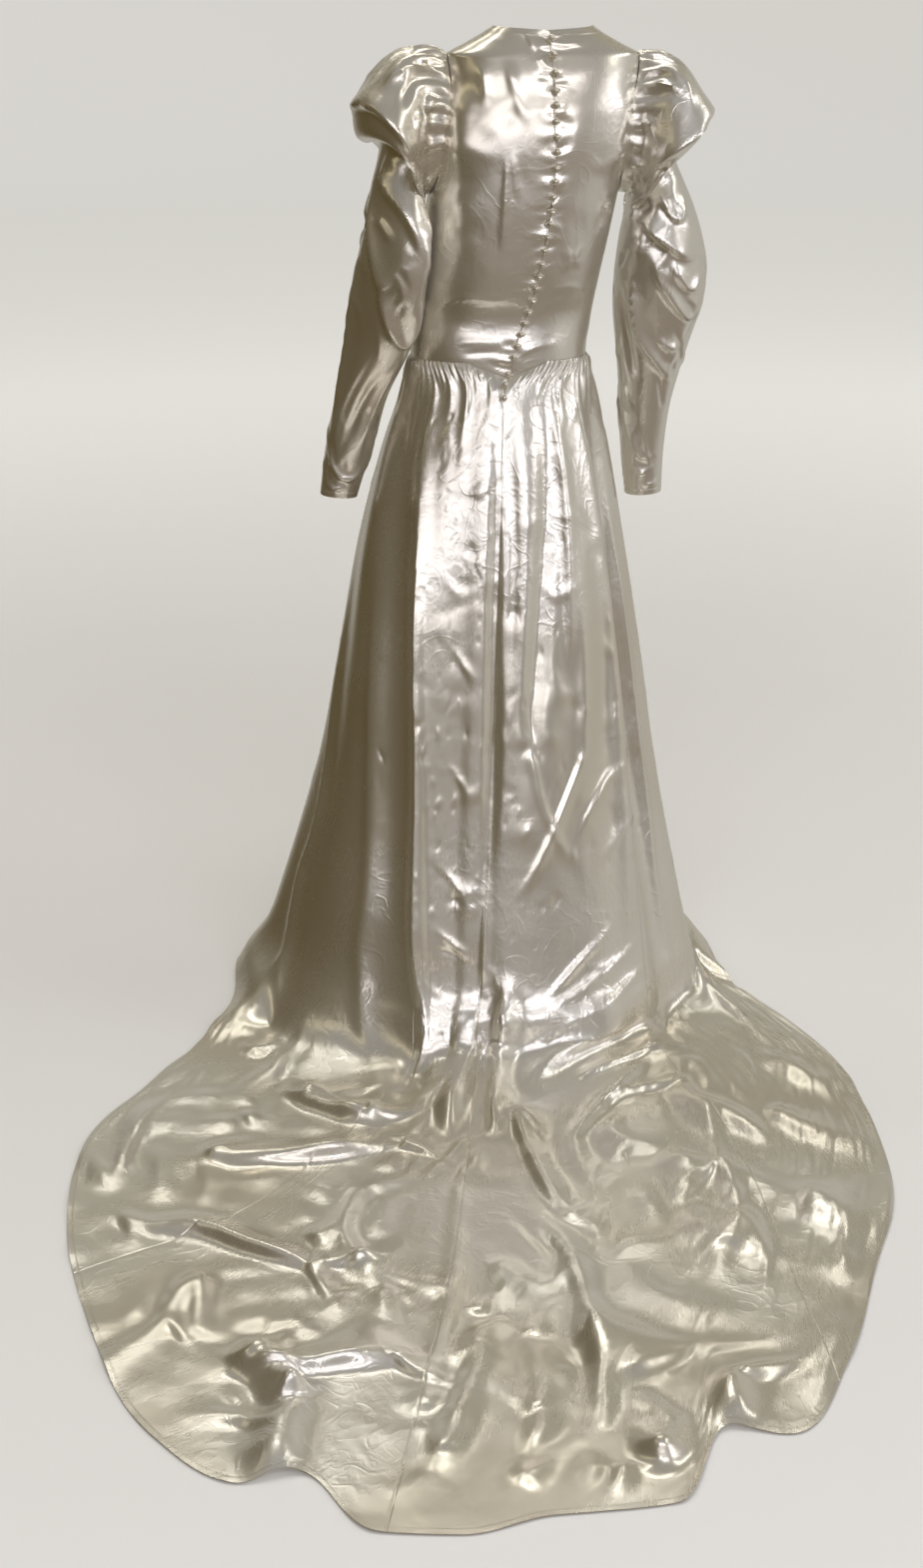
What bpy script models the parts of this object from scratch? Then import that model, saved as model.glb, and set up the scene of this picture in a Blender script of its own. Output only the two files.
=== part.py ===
"""A long-sleeved satin gown with a train, hollow and standing as it is worn.

Metres, +Z up. The front faces -Y, the train lies towards +Y and the wearer's left is +X. The origin
lies between the shoulder seams, where the wearer holds the gown up. Heights in the tables are above
the floor that the train lies on. Angles go round the wearer in degrees: 0 at the left side, 90 at
the centre back, 180 at the right side and 270 at the centre front.
"""
import math

import bpy
import numpy as np

SHOULDER_HEIGHT = 1.50       # the origin above the floor
WALL = 0.0012                # satin with its seam allowances
SEAM_GAP = 0.0003            # between pieces that are sewn together
FLOOR_CLEARANCE = 0.0003

SATIN = (0.80, 0.77, 0.66)
SATIN_ROUGHNESS = 0.28
SATIN_METALLIC = 0.35


def columns(names, rows):
    """One array for each named column of a table."""
    return dict(zip(names.split(), np.array(rows, float).T))


# The bodice as level sections. middle is the section's centre in X: the figure leans to its right.
TORSO = columns("height middle side back front", (
    (1.030, 0.064, 0.139, 0.094, 0.094),
    (1.070, 0.064, 0.139, 0.094, 0.096),
    (1.120, 0.059, 0.139, 0.095, 0.102),
    (1.180, 0.050, 0.141, 0.099, 0.111),
    (1.250, 0.038, 0.144, 0.104, 0.120),
    (1.310, 0.028, 0.146, 0.107, 0.121),
    (1.370, 0.017, 0.148, 0.107, 0.110),
    (1.430, 0.008, 0.149, 0.102, 0.094),
    (1.480, 0.002, 0.149, 0.089, 0.078),
    (1.512, 0.000, 0.147, 0.075, 0.062),
    (1.528, 0.000, 0.120, 0.067, 0.056),
    (1.543, 0.000, 0.092, 0.060, 0.052),
    (1.554, 0.000, 0.075, 0.055, 0.049)))
TORSO_SQUARENESS = 2.25      # 2 would be an ellipse

# The buttoned edge wanders off the middle of the back.
CENTRE_BACK = columns("height angle", (
    (1.040, 90.0),
    (1.090, 92.0),
    (1.180, 99.0),
    (1.280, 99.6),
    (1.370, 97.0),
    (1.450, 92.5),
    (1.554, 90.0)))

WAIST_HEIGHT = 1.068
WAIST_POINT = 0.022          # how far the seam dips at the centre back and front
WAIST_POINT_REACH = 24.0     # degrees each side of the dip
UNDERARM_HEIGHT = 1.315
SHOULDER_TIP_HEIGHT = 1.512
NECK_HEIGHT = 1.554
NECK_DIP_BACK = 0.005
NECK_DIP_FRONT = 0.078
ARMHOLE_BACK = 24.0          # degrees from the side to the armhole's edge
ARMHOLE_FRONT = 27.0
BODICE_ROWS = (WAIST_HEIGHT, 1.110, 1.170, 1.230, 1.280, UNDERARM_HEIGHT, 1.335, 1.370, 1.410,
               1.450, 1.485, SHOULDER_TIP_HEIGHT, 1.526, 1.540, NECK_HEIGHT)
BACK_COLUMNS = 8
FRONT_COLUMNS = 18

# Gathers round the waist and over the sleeve heads
WAIST_GATHERS = 48
STEPS_PER_GATHER = 4
WAIST_STEPS = WAIST_GATHERS * STEPS_PER_GATHER
WAIST_STEP = 360.0 / WAIST_STEPS
QUARTER = WAIST_STEPS // 4   # steps from a side seam to the centre back
WAIST_GATHER_DEPTH = columns("level depth", (
    (0.00, 0.0012),
    (0.30, 0.0036),
    (0.65, 0.0024),
    (1.00, 0.0006),
    (1.50, 0.0000)))
SLEEVE_GATHERS = 16
SLEEVE_GATHER_REACH = 120.0  # degrees each side of the shoulder tip
SLEEVE_GATHER_FADE = 20.0    # over the last of them
SLEEVE_GATHER_DEPTH = columns("level depth", (
    (0.00, 0.0000),
    (0.45, 0.0034),
    (1.00, 0.0030),
    (2.20, 0.0000)))

# Sleeves as rings. out and in are the ring's ends away from and next to the body, back and front
# are its reaches in Y, lift raises it between the two ends and wrap draws its back towards the body.
# Rings 6 to 9 are the pouch that hangs over the lower sleeve.
SLEEVE_COLUMNS = "out out_height in in_height back front lift wrap"
SLEEVE_LEFT = columns(SLEEVE_COLUMNS, (
    (0.178, 1.524, 0.183, 1.309, 0.060, -0.056, 0.000, 0.000),
    (0.212, 1.520, 0.186, 1.303, 0.080, -0.074, 0.008, 0.000),
    (0.248, 1.494, 0.188, 1.297, 0.093, -0.084, 0.014, 0.004),
    (0.274, 1.460, 0.189, 1.291, 0.101, -0.090, 0.020, 0.008),
    (0.287, 1.425, 0.190, 1.285, 0.106, -0.092, 0.026, 0.012),
    (0.282, 1.394, 0.190, 1.279, 0.103, -0.088, 0.030, 0.014),
    (0.266, 1.384, 0.190, 1.274, 0.091, -0.076, 0.032, 0.014),
    (0.249, 1.390, 0.190, 1.270, 0.078, -0.062, 0.030, 0.014),
    (0.252, 1.362, 0.190, 1.265, 0.080, -0.060, 0.022, 0.018),
    (0.261, 1.330, 0.190, 1.255, 0.092, -0.060, 0.012, 0.022),
    (0.270, 1.290, 0.191, 1.235, 0.107, -0.058, 0.004, 0.026),
    (0.279, 1.245, 0.194, 1.205, 0.116, -0.054, 0.000, 0.028),
    (0.288, 1.195, 0.199, 1.162, 0.112, -0.050, 0.000, 0.026),
    (0.297, 1.145, 0.204, 1.118, 0.096, -0.048, 0.000, 0.022),
    (0.307, 1.085, 0.215, 1.070, 0.070, -0.050, 0.000, 0.012),
    (0.321, 1.010, 0.241, 1.004, 0.048, -0.054, 0.000, 0.000),
    (0.335, 0.945, 0.258, 0.942, 0.033, -0.056, 0.000, 0.000),
    (0.343, 0.893, 0.275, 0.890, 0.022, -0.055, 0.000, 0.000),
    (0.349, 0.848, 0.290, 0.843, 0.014, -0.046, 0.000, 0.000)))
SLEEVE_RIGHT = columns(SLEEVE_COLUMNS, (
    (-0.172, 1.516, -0.134, 1.309, 0.060, -0.056, 0.000, 0.000),
    (-0.202, 1.509, -0.136, 1.304, 0.078, -0.072, 0.006, 0.000),
    (-0.226, 1.487, -0.137, 1.299, 0.089, -0.082, 0.010, 0.000),
    (-0.240, 1.455, -0.137, 1.294, 0.095, -0.087, 0.012, 0.000),
    (-0.246, 1.420, -0.137, 1.289, 0.098, -0.089, 0.016, 0.000),
    (-0.241, 1.392, -0.136, 1.284, 0.093, -0.085, 0.018, 0.000),
    (-0.225, 1.376, -0.135, 1.280, 0.080, -0.074, 0.020, 0.000),
    (-0.208, 1.383, -0.134, 1.276, 0.066, -0.062, 0.018, 0.000),
    (-0.208, 1.360, -0.132, 1.271, 0.063, -0.060, 0.012, 0.000),
    (-0.219, 1.333, -0.130, 1.261, 0.071, -0.062, 0.006, 0.000),
    (-0.236, 1.295, -0.126, 1.244, 0.079, -0.062, 0.000, 0.000),
    (-0.252, 1.247, -0.121, 1.215, 0.083, -0.060, 0.000, 0.000),
    (-0.262, 1.196, -0.117, 1.175, 0.081, -0.058, 0.000, 0.000),
    (-0.258, 1.143, -0.118, 1.130, 0.072, -0.056, 0.000, 0.000),
    (-0.243, 1.090, -0.124, 1.083, 0.059, -0.055, 0.000, 0.000),
    (-0.228, 1.035, -0.131, 1.030, 0.047, -0.055, 0.000, 0.000),
    (-0.215, 0.975, -0.136, 0.972, 0.036, -0.055, 0.000, 0.000),
    (-0.209, 0.905, -0.141, 0.902, 0.025, -0.053, 0.000, 0.000),
    (-0.208, 0.837, -0.149, 0.833, 0.016, -0.044, 0.000, 0.000)))
SLEEVE_SQUARENESS = 2.2
SLEEVE_START = 0.0006        # the sleeve's edge stands this far off the bodice
SLEEVE_HEAD_LEVELS = (0.0, 0.45, 1.0)
SLEEVE_LEVELS = (2, 3, 5, 6, 7, 8, 9, 10, 11, 12, 13, 14, 15, 17, 19)
SLEEVE_HEAD_STEP = SLEEVE_GATHER_REACH / (2 * SLEEVE_GATHERS)
SLEEVE_UNDER_STEPS = 10
SLEEVE_STEPS = 24

# The hanging skirt as level sections round its own axis
SKIRT_AXIS_X = 0.070
SKIRT = columns("height left right back front", (
    (1.026, 0.146, 0.158, 0.112, 0.104),
    (0.950, 0.172, 0.172, 0.138, 0.122),
    (0.780, 0.217, 0.201, 0.184, 0.150),
    (0.580, 0.251, 0.233, 0.228, 0.178),
    (0.400, 0.283, 0.259, 0.270, 0.205),
    (0.220, 0.334, 0.295, 0.325, 0.240),
    (0.085, 0.380, 0.328, 0.375, 0.285)))

# Where the skirt meets the floor and how far its hem reaches, from the skirt's axis
TRAIN = columns("bearing floor hem", (
    (-90.0, 0.330, 0.350),
    (-45.0, 0.355, 0.372),
    (-12.0, 0.400, 0.425),
    (0.0, 0.415, 0.445),
    (13.0, 0.430, 0.475),
    (24.0, 0.445, 0.565),
    (31.0, 0.460, 0.700),
    (36.0, 0.465, 0.840),
    (45.0, 0.470, 1.005),
    (55.0, 0.470, 1.180),
    (64.0, 0.465, 1.355),
    (69.0, 0.460, 1.408),
    (72.0, 0.455, 1.375),
    (76.0, 0.450, 1.462),
    (80.0, 0.445, 1.460),
    (84.0, 0.440, 1.428),
    (90.0, 0.430, 1.420),
    (93.5, 0.425, 1.300),
    (97.0, 0.420, 1.330),
    (102.0, 0.415, 1.235),
    (110.0, 0.405, 1.065),
    (118.0, 0.400, 0.950),
    (129.0, 0.390, 0.770),
    (137.0, 0.385, 0.675),
    (147.0, 0.372, 0.540),
    (158.0, 0.360, 0.440),
    (172.0, 0.352, 0.390),
    (225.0, 0.340, 0.358),
    (270.0, 0.330, 0.350)))
HANGING_FLOOR_HEIGHTS = (0.050, 0.030, 0.010)   # the last three rings where the hem only hangs
LYING_FLOOR_HEIGHTS = (0.007, 0.004, 0.003)     # and where the cloth lies on the floor
LYING_STARTS = 0.03          # metres of cloth past the floor line
LYING_FULLY = 0.14
FOLDS_TURN_UP = (7.2, 8.6)   # levels between which folds turn from out to up where the cloth lies

# The skirt's seams: the step of the waist at which each starts, and its bearing on every ring
SEAM_STEPS = (-18, 18, QUARTER, 78, 114)
SEAM_BEARINGS = columns("left_front left_back centre_back right_back right_front", (
    (-34, 34, 90.0, 146, 214),
    (-34, 36, 88.5, 145, 214),
    (-34, 38, 87.0, 143, 214),
    (-33, 44, 84.0, 141, 213),
    (-32, 50, 81.5, 138, 212),
    (-31, 55, 80.0, 135, 211),
    (-30, 59, 79.0, 131, 210),
    (-29, 62, 78.0, 127, 209),
    (-28, 63, 78.0, 123, 208),
    (-27, 58, 78.0, 111, 207),
    (-26, 51, 76.5, 101, 206)))

# Large folds that run down the skirt: the waist angle, the half width in degrees, and the depth at
# the hip, at the knee, where the skirt meets the floor and at the hem. Plus is out, minus is in.
FOLDS = columns("angle width hip knee floor hem", (
    (34, 7, 0.009, 0.020, 0.030, 0.010),
    (21, 7, -0.008, -0.018, -0.022, 0.000),
    (8, 7, 0.006, 0.014, 0.022, 0.020),
    (-7, 7, -0.007, -0.014, -0.016, -0.010),
    (-21, 7, 0.008, 0.015, 0.018, 0.016),
    (50, 6, 0.003, 0.005, 0.006, 0.022),
    (66, 8, -0.005, -0.013, -0.018, 0.000),
    (79, 6, 0.004, 0.010, 0.012, 0.012),
    (90, 5, -0.003, -0.008, -0.026, 0.000),
    (102, 6, 0.004, 0.008, 0.034, 0.018),
    (122, 7, -0.009, -0.008, -0.006, 0.000),
    (134, 6, 0.005, 0.011, 0.016, 0.014),
    (146, 5, 0.004, 0.010, 0.020, 0.026),
    (158, 7, -0.006, -0.014, -0.018, 0.000),
    (172, 7, 0.006, 0.013, 0.018, 0.010),
    (187, 7, -0.007, -0.014, -0.016, 0.000),
    (203, 8, 0.008, 0.015, 0.020, 0.018),
    (220, 8, -0.007, -0.014, -0.018, -0.016),
    (238, 8, 0.007, 0.014, 0.018, 0.016),
    (254, 7, -0.005, -0.011, -0.014, -0.012),
    (270, 8, 0.005, 0.010, 0.014, 0.014),
    (287, 7, -0.006, -0.013, -0.016, -0.014),
    (303, 8, 0.008, 0.015, 0.020, 0.020),
    (320, 7, -0.007, -0.013, -0.016, -0.014)))
FOLD_LEVELS = (0.6, 2.0, 4.5, 8.0, 10.0)

ANGLE_NUDGE = 0.1            # degrees, metres and levels either side of a point, to find directions
HEIGHT_NUDGE = 0.001
LEVEL_NUDGE = 0.02
SKIRT_TOP_LEVELS = (0.0, 0.30, 0.65)
SKIRT_LEVELS = (1, 2, 3.5, 5, 6, 7, 7.5, 8, 8.4, 8.9, 9.45, 10)
SKIRT_PANELS = (
    ("skirt_side_left", -18, 18, 18),
    ("skirt_back_left", 18, QUARTER, 22),
    ("skirt_back_right", QUARTER, 78, 22),
    ("skirt_side_right", 78, 114, 18),
    ("skirt_front", 114, 174, 14))

BODICE_BUTTONS = 25
SKIRT_BUTTONS = 2
FIRST_BUTTON_HEIGHT = 1.536
FIRST_SPACING = 0.0235
LAST_SPACING = 0.0162
SKIRT_BUTTON_HEIGHTS = (1.034, 1.017)
BUTTON_SIDES = 6
BUTTON_PROFILE = ((0.0034, 0.0000), (0.0055, 0.0032), (0.0038, 0.0070))
BUTTON_TOP = 0.0082
LOOP_BAND = 0.0050           # the loop strip's width between two loops
LOOP_REACH = 0.0028          # and how much further each loop reaches
LOOP_THICKNESS = 0.0011
STACK_GAP = 0.0004           # between what lies on a panel and the panel


def row_slopes(values, steps):
    """Slopes of a curve through the values that doesn't overshoot them."""
    rise = np.diff(values, axis=0) / steps
    agree = rise[:-1] * rise[1:] > 0
    total = np.where(agree, rise[:-1] + rise[1:], 1.0)
    slopes = np.empty_like(values)
    slopes[1:-1] = np.where(agree, 2 * rise[:-1] * rise[1:] / total, 0.0)
    slopes[0] = rise[0]
    slopes[-1] = rise[-1]
    return slopes


def hermite(t, start, end, start_slope, end_slope):
    """A cubic from start to end, with its slopes per unit of t."""
    t2 = t * t
    t3 = t2 * t
    return ((2 * t3 - 3 * t2 + 1) * start + (t3 - 2 * t2 + t) * start_slope
            + (3 * t2 - 2 * t3) * end + (t3 - t2) * end_slope)


def curve(at, places, values):
    """The value at each place of a smooth curve through a table's column."""
    places = np.asarray(places, float)
    values = np.asarray(values, float)
    slopes = row_slopes(values, np.diff(places))
    at = np.clip(at, places[0], places[-1])
    i = np.clip(np.searchsorted(places, at, side="right") - 1, 0, len(places) - 2)
    step = places[i + 1] - places[i]
    return hermite((at - places[i]) / step, values[i], values[i + 1],
                   slopes[i] * step, slopes[i + 1] * step)


def loft(level, rings):
    """The points at a level between rings of points, smooth in plan and level at its lowest."""
    slopes = row_slopes(rings, 1.0)
    slopes[1:-1, :, :2] = (rings[2:, :, :2] - rings[:-2, :, :2]) / 2
    i = min(max(int(level), 0), len(rings) - 2)
    return hermite(level - i, rings[i], rings[i + 1], slopes[i], slopes[i + 1])


def ease(at, start, end):
    """0 up to start, 1 from end, and a soft step between."""
    t = np.clip((np.asarray(at, float) - start) / (end - start), 0.0, 1.0)
    return t * t * (3 - 2 * t)


def unit(vectors):
    """The vectors at length 1."""
    return vectors / np.linalg.norm(vectors, axis=-1, keepdims=True)


def torso(angle, height):
    """Points of the bodice's outer face."""
    middle, side, back, front = (curve(height, TORSO["height"], TORSO[name])
                                 for name in ("middle", "side", "back", "front"))
    c = np.cos(np.radians(angle))
    s = np.sin(np.radians(angle))
    power = 2 / TORSO_SQUARENESS
    x = middle + side * np.sign(c) * np.abs(c) ** power
    y = np.where(s > 0, back, front) * np.sign(s) * np.abs(s) ** power
    return np.stack(np.broadcast_arrays(x, y, height - SHOULDER_HEIGHT), axis=-1)


def torso_turn(angle, height):
    """The direction round the bodice."""
    return unit(torso(angle + ANGLE_NUDGE, height) - torso(angle - ANGLE_NUDGE, height))


def torso_normal(angle, height):
    """The direction out of the bodice."""
    rise = torso(angle, height + HEIGHT_NUDGE) - torso(angle, height - HEIGHT_NUDGE)
    return unit(np.cross(torso_turn(angle, height), rise))


def waist_height(angle):
    """The waist seam, with a shallow point at the centre back and front."""
    angle = np.asarray(angle, float) % 360
    off = np.minimum(abs(angle - 90), abs(angle - 270))
    return WAIST_HEIGHT - WAIST_POINT * np.clip(1 - off / WAIST_POINT_REACH, 0, 1)


def armhole_edge(height, widest):
    """Degrees from the side seam to the armhole's edge."""
    middle = (UNDERARM_HEIGHT + SHOULDER_TIP_HEIGHT) / 2
    half = (SHOULDER_TIP_HEIGHT - UNDERARM_HEIGHT) / 2
    return widest * np.sqrt(np.clip(1 - ((height - middle) / half) ** 2, 0, 1))


def triangles_between(first, second, first_start, second_start, closed):
    """Triangles of the band between two rows, given each point's place along its row."""
    faces = []
    i = 0
    j = 0
    last_i = len(first) - (0 if closed else 1)
    last_j = len(second) - (0 if closed else 1)
    while i < last_i or j < last_j:
        next_i = first[i + 1] if i + 1 < len(first) else first[0] + 360.0
        next_j = second[j + 1] if j + 1 < len(second) else second[0] + 360.0
        a = first_start + i % len(first)
        b = second_start + j % len(second)
        if j >= last_j or (i < last_i and next_i <= next_j):
            faces.append((a, first_start + (i + 1) % len(first), b))
            i += 1
        else:
            faces.append((a, second_start + (j + 1) % len(second), b))
            j += 1
    return faces


def rim_faces(a, b, total, direction):
    """Two triangles across the wall's edge from outer point a to outer point b."""
    faces = [(a, a + total, b + total), (a, b + total, b)]
    return faces if direction > 0 else [face[::-1] for face in faces]


def wall(name, places, outer, inner, closed, outward):
    """One closed solid between an outer and an inner skin, each a list of rows of points."""
    starts = np.concatenate(([0], np.cumsum([len(row) for row in outer])))
    total = int(starts[-1])
    skin = []
    for k in range(len(outer) - 1):
        skin += triangles_between(places[k], places[k + 1], int(starts[k]), int(starts[k + 1]), closed)
    faces = skin + [(a + total, c + total, b + total) for a, b, c in skin]
    loop_end = 0 if closed else 1
    for row, direction in ((0, 1), (len(outer) - 1, -1)):
        size = len(outer[row])
        for n in range(size - loop_end):
            faces += rim_faces(int(starts[row]) + n, int(starts[row]) + (n + 1) % size, total, direction)
    if not closed:
        for k in range(len(outer) - 1):
            faces += rim_faces(int(starts[k]), int(starts[k + 1]), total, -1)
            faces += rim_faces(int(starts[k + 1]) - 1, int(starts[k + 2]) - 1, total, 1)
    if not outward:
        faces = [face[::-1] for face in faces]
    points = np.concatenate(list(outer) + list(inner))
    return add_object(name, points, faces)


def satin_material(name):
    """The cloth's finish, one for each piece."""
    material = bpy.data.materials.new(name)
    material.use_nodes = True
    shader = material.node_tree.nodes["Principled BSDF"]
    shader.inputs["Base Color"].default_value = (*SATIN, 1.0)
    shader.inputs["Roughness"].default_value = SATIN_ROUGHNESS
    shader.inputs["Metallic"].default_value = SATIN_METALLIC
    return material


def add_object(name, points, faces):
    """A named object with its own material."""
    mesh = bpy.data.meshes.new(name)
    mesh.from_pydata([tuple(p) for p in points], [], faces)
    mesh.update()
    mesh.materials.append(satin_material(name))
    made = bpy.data.objects.new(name, mesh)
    bpy.context.scene.collection.objects.link(made)
    return made


def bodice_panel(name, start_angle, end_angle, columns_across, waist_angles, neck_dip, outward):
    """A bodice piece between two edges, each an angle that depends on the height."""
    places = []
    outer = []
    inner = []
    for k, side_height in enumerate(BODICE_ROWS):
        start = start_angle(side_height)
        end = end_angle(side_height)
        if k == 0:
            along = (np.asarray(waist_angles, float) - start) / (end - start)
        else:
            along = np.linspace(0, 1, columns_across + 1)
        share = (side_height - WAIST_HEIGHT) / (NECK_HEIGHT - WAIST_HEIGHT)
        waist_start = start_angle(WAIST_HEIGHT)
        waist_angle = waist_start + along * (end_angle(WAIST_HEIGHT) - waist_start)
        bottom = waist_height(waist_angle) + SEAM_GAP
        top = NECK_HEIGHT - neck_dip(along)
        height = bottom + share * (top - bottom)
        angle = start + along * (end - start)
        points = torso(angle, height)
        normals = torso_normal(angle, height)
        inwards = np.sign(end - start) * torso_turn(angle, height) * SEAM_GAP / 2
        points[0] += inwards[0]
        points[-1] -= inwards[-1]
        places.append(along)
        outer.append(points)
        inner.append(points - normals * WALL)
    wall(name, places, outer, inner, False, outward)
    return outer


def build_bodice():
    """Three pieces; returns the right back's outer points, which the loops lie on."""
    def centre_back(height):
        return curve(height, CENTRE_BACK["height"], CENTRE_BACK["angle"])

    def back_dip(along):
        return NECK_DIP_BACK * (1 - along) ** 1.5

    def front_dip(along):
        return NECK_DIP_FRONT * np.sin(np.pi * along) ** 0.8

    def left_back_edge(height):
        return armhole_edge(height, ARMHOLE_BACK)

    def right_back_edge(height):
        return 180 - armhole_edge(height, ARMHOLE_BACK)

    def left_front_edge(height):
        return 360 - armhole_edge(height, ARMHOLE_FRONT)

    def right_front_edge(height):
        return 180 + armhole_edge(height, ARMHOLE_FRONT)

    bodice_panel("bodice_back_left", centre_back, left_back_edge, BACK_COLUMNS,
                 np.arange(QUARTER, -1, -1) * WAIST_STEP, back_dip, False)
    right = bodice_panel("bodice_back_right", centre_back, right_back_edge, BACK_COLUMNS,
                         np.arange(QUARTER, 2 * QUARTER + 1) * WAIST_STEP, back_dip, True)
    bodice_panel("bodice_front", right_front_edge, left_front_edge, FRONT_COLUMNS,
                 np.arange(2 * QUARTER, 4 * QUARTER + 1) * WAIST_STEP, front_dip, True)
    return right


def sleeve_rings(table, side, angles):
    """The rings of one sleeve; the first follows the armhole."""
    c = np.cos(np.radians(angles))
    s = np.sin(np.radians(angles))
    widest = np.where(s > 0, ARMHOLE_BACK, ARMHOLE_FRONT) * s
    middle = (UNDERARM_HEIGHT + SHOULDER_TIP_HEIGHT) / 2
    half = (SHOULDER_TIP_HEIGHT - UNDERARM_HEIGHT) / 2
    round_angle = widest if side > 0 else 180 - widest
    height = middle + half * c
    rings = [torso(round_angle, height) + SLEEVE_START * torso_normal(round_angle, height)]
    power = 2 / SLEEVE_SQUARENESS
    across = np.sign(c) * np.abs(c) ** power
    depth = np.sign(s) * np.abs(s) ** power
    for k in range(len(table["out"])):
        x = ((table["out"][k] + table["in"][k]) / 2
             + (table["out"][k] - table["in"][k]) / 2 * across
             - side * table["wrap"][k] * np.clip(s, 0, 1))
        z = ((table["out_height"][k] + table["in_height"][k]) / 2
             + (table["out_height"][k] - table["in_height"][k]) / 2 * across
             + table["lift"][k] * s ** 2 - SHOULDER_HEIGHT)
        y = ((table["back"][k] + table["front"][k]) / 2
             + (table["back"][k] - table["front"][k]) / 2 * depth)
        rings.append(np.stack((x, y, z), axis=-1))
    return np.stack(rings)


def sleeve_points(table, side, angles, level):
    """Points of a sleeve's outer face at one level, with the gathers of its head."""
    rings = sleeve_rings(table, side, angles)
    points = loft(level, rings)
    centre = points.mean(axis=0)
    from_tip = (np.asarray(angles, float) + 180) % 360 - 180
    covered = ease(SLEEVE_GATHER_REACH - abs(from_tip), 0, SLEEVE_GATHER_FADE)
    wave = np.cos(np.radians(from_tip) * 180 / SLEEVE_GATHER_REACH * SLEEVE_GATHERS)
    depth = curve(level, SLEEVE_GATHER_DEPTH["level"], SLEEVE_GATHER_DEPTH["depth"])
    return points + unit(points - centre) * (depth * wave * covered)[:, None]


def build_sleeve(name, table, side):
    """One sleeve, a tube from the armhole to the open wrist."""
    head = np.arange(-SLEEVE_GATHER_REACH, SLEEVE_GATHER_REACH, SLEEVE_HEAD_STEP)
    under = np.linspace(SLEEVE_GATHER_REACH, 360 - SLEEVE_GATHER_REACH, SLEEVE_UNDER_STEPS,
                        endpoint=False)
    head_angles = np.concatenate((head, under))
    angles = np.linspace(-SLEEVE_GATHER_REACH, 360 - SLEEVE_GATHER_REACH, SLEEVE_STEPS,
                         endpoint=False)
    places = []
    outer = []
    inner = []
    for level in SLEEVE_HEAD_LEVELS + SLEEVE_LEVELS:
        row = head_angles if level in SLEEVE_HEAD_LEVELS else angles
        points = sleeve_points(table, side, row, level)
        turn = (sleeve_points(table, side, row + ANGLE_NUDGE, level)
                - sleeve_points(table, side, row - ANGLE_NUDGE, level))
        on = (sleeve_points(table, side, row, min(level + LEVEL_NUDGE, len(table["out"])))
              - sleeve_points(table, side, row, max(level - LEVEL_NUDGE, 0)))
        normals = unit(np.cross(turn, on)) * side
        places.append(row)
        outer.append(points)
        inner.append(points + normals * WALL)
    wall(name, places, outer, inner, True, side < 0)


def seam_bearing(level_index, angles):
    """The bearing on one ring of the meridians that start at these waist angles."""
    starts = np.array(SEAM_STEPS, float) * WAIST_STEP
    bearings = np.array([SEAM_BEARINGS[name][level_index] for name in SEAM_BEARINGS])
    places = np.concatenate((starts[-2:] - 360, starts, starts[:2] + 360))
    values = np.concatenate((bearings[-2:] - 360, bearings, bearings[:2] + 360))
    return curve(angles, places, values)


def skirt_rings(angles):
    """The rings of the skirt from the waist to the hem."""
    rings = [torso(angles, waist_height(angles) - SEAM_GAP)]
    for k in range(len(SKIRT["height"])):
        bearing = seam_bearing(k + 1, angles)
        c = np.cos(np.radians(bearing))
        s = np.sin(np.radians(bearing))
        half_width = np.where(c > 0, SKIRT["left"][k], SKIRT["right"][k])
        half_depth = np.where(s > 0, SKIRT["back"][k], SKIRT["front"][k])
        reach = 1 / np.hypot(c / half_width, s / half_depth)
        height = np.full(len(bearing), SKIRT["height"][k] - SHOULDER_HEIGHT)
        rings.append(np.stack((SKIRT_AXIS_X + reach * c, reach * s, height), axis=-1))
    for k, share in enumerate((0.0, 0.5, 1.0)):
        bearing = seam_bearing(len(SKIRT["height"]) + 1 + k, angles)
        around = (bearing + 90) % 360 - 90
        floor = curve(around, TRAIN["bearing"], TRAIN["floor"])
        hem = curve(around, TRAIN["bearing"], TRAIN["hem"])
        lying = ease(hem - floor, LYING_STARTS, LYING_FULLY)
        reach = floor + share * (hem - floor)
        height = HANGING_FLOOR_HEIGHTS[k] + lying * (LYING_FLOOR_HEIGHTS[k] - HANGING_FLOOR_HEIGHTS[k])
        c = np.cos(np.radians(bearing))
        s = np.sin(np.radians(bearing))
        rings.append(np.stack((SKIRT_AXIS_X + reach * c, reach * s, height - SHOULDER_HEIGHT), axis=-1))
    return np.stack(rings)


def skirt_points(angles, level):
    """Points of the skirt's outer face at one level, with its gathers and folds."""
    angles = np.asarray(angles, float)
    rings = skirt_rings(angles)
    points = loft(level, rings)
    out = unit(points * (1, 1, 0) - (SKIRT_AXIS_X, 0, 0))
    gather = curve(level, WAIST_GATHER_DEPTH["level"], WAIST_GATHER_DEPTH["depth"])
    depth = gather * np.cos(np.radians(angles) * WAIST_GATHERS)
    for k in range(len(FOLDS["angle"])):
        off = (angles - FOLDS["angle"][k] + 180) % 360 - 180
        amount = curve(level, FOLD_LEVELS, (0.0, FOLDS["hip"][k], FOLDS["knee"][k],
                                            FOLDS["floor"][k], FOLDS["hem"][k]))
        depth = depth + amount * np.exp(-(off / FOLDS["width"][k]) ** 2)
    spread = np.linalg.norm((rings[-1] - rings[-3])[:, :2], axis=1)
    lying = ease(level, *FOLDS_TURN_UP) * ease(spread, LYING_STARTS, LYING_FULLY)
    points = points + ((1 - lying) * depth)[:, None] * out
    points[:, 2] += lying * depth
    lowest = FLOOR_CLEARANCE + WALL - SHOULDER_HEIGHT
    points[:, 2] = np.maximum(points[:, 2], lowest)
    return points


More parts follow.
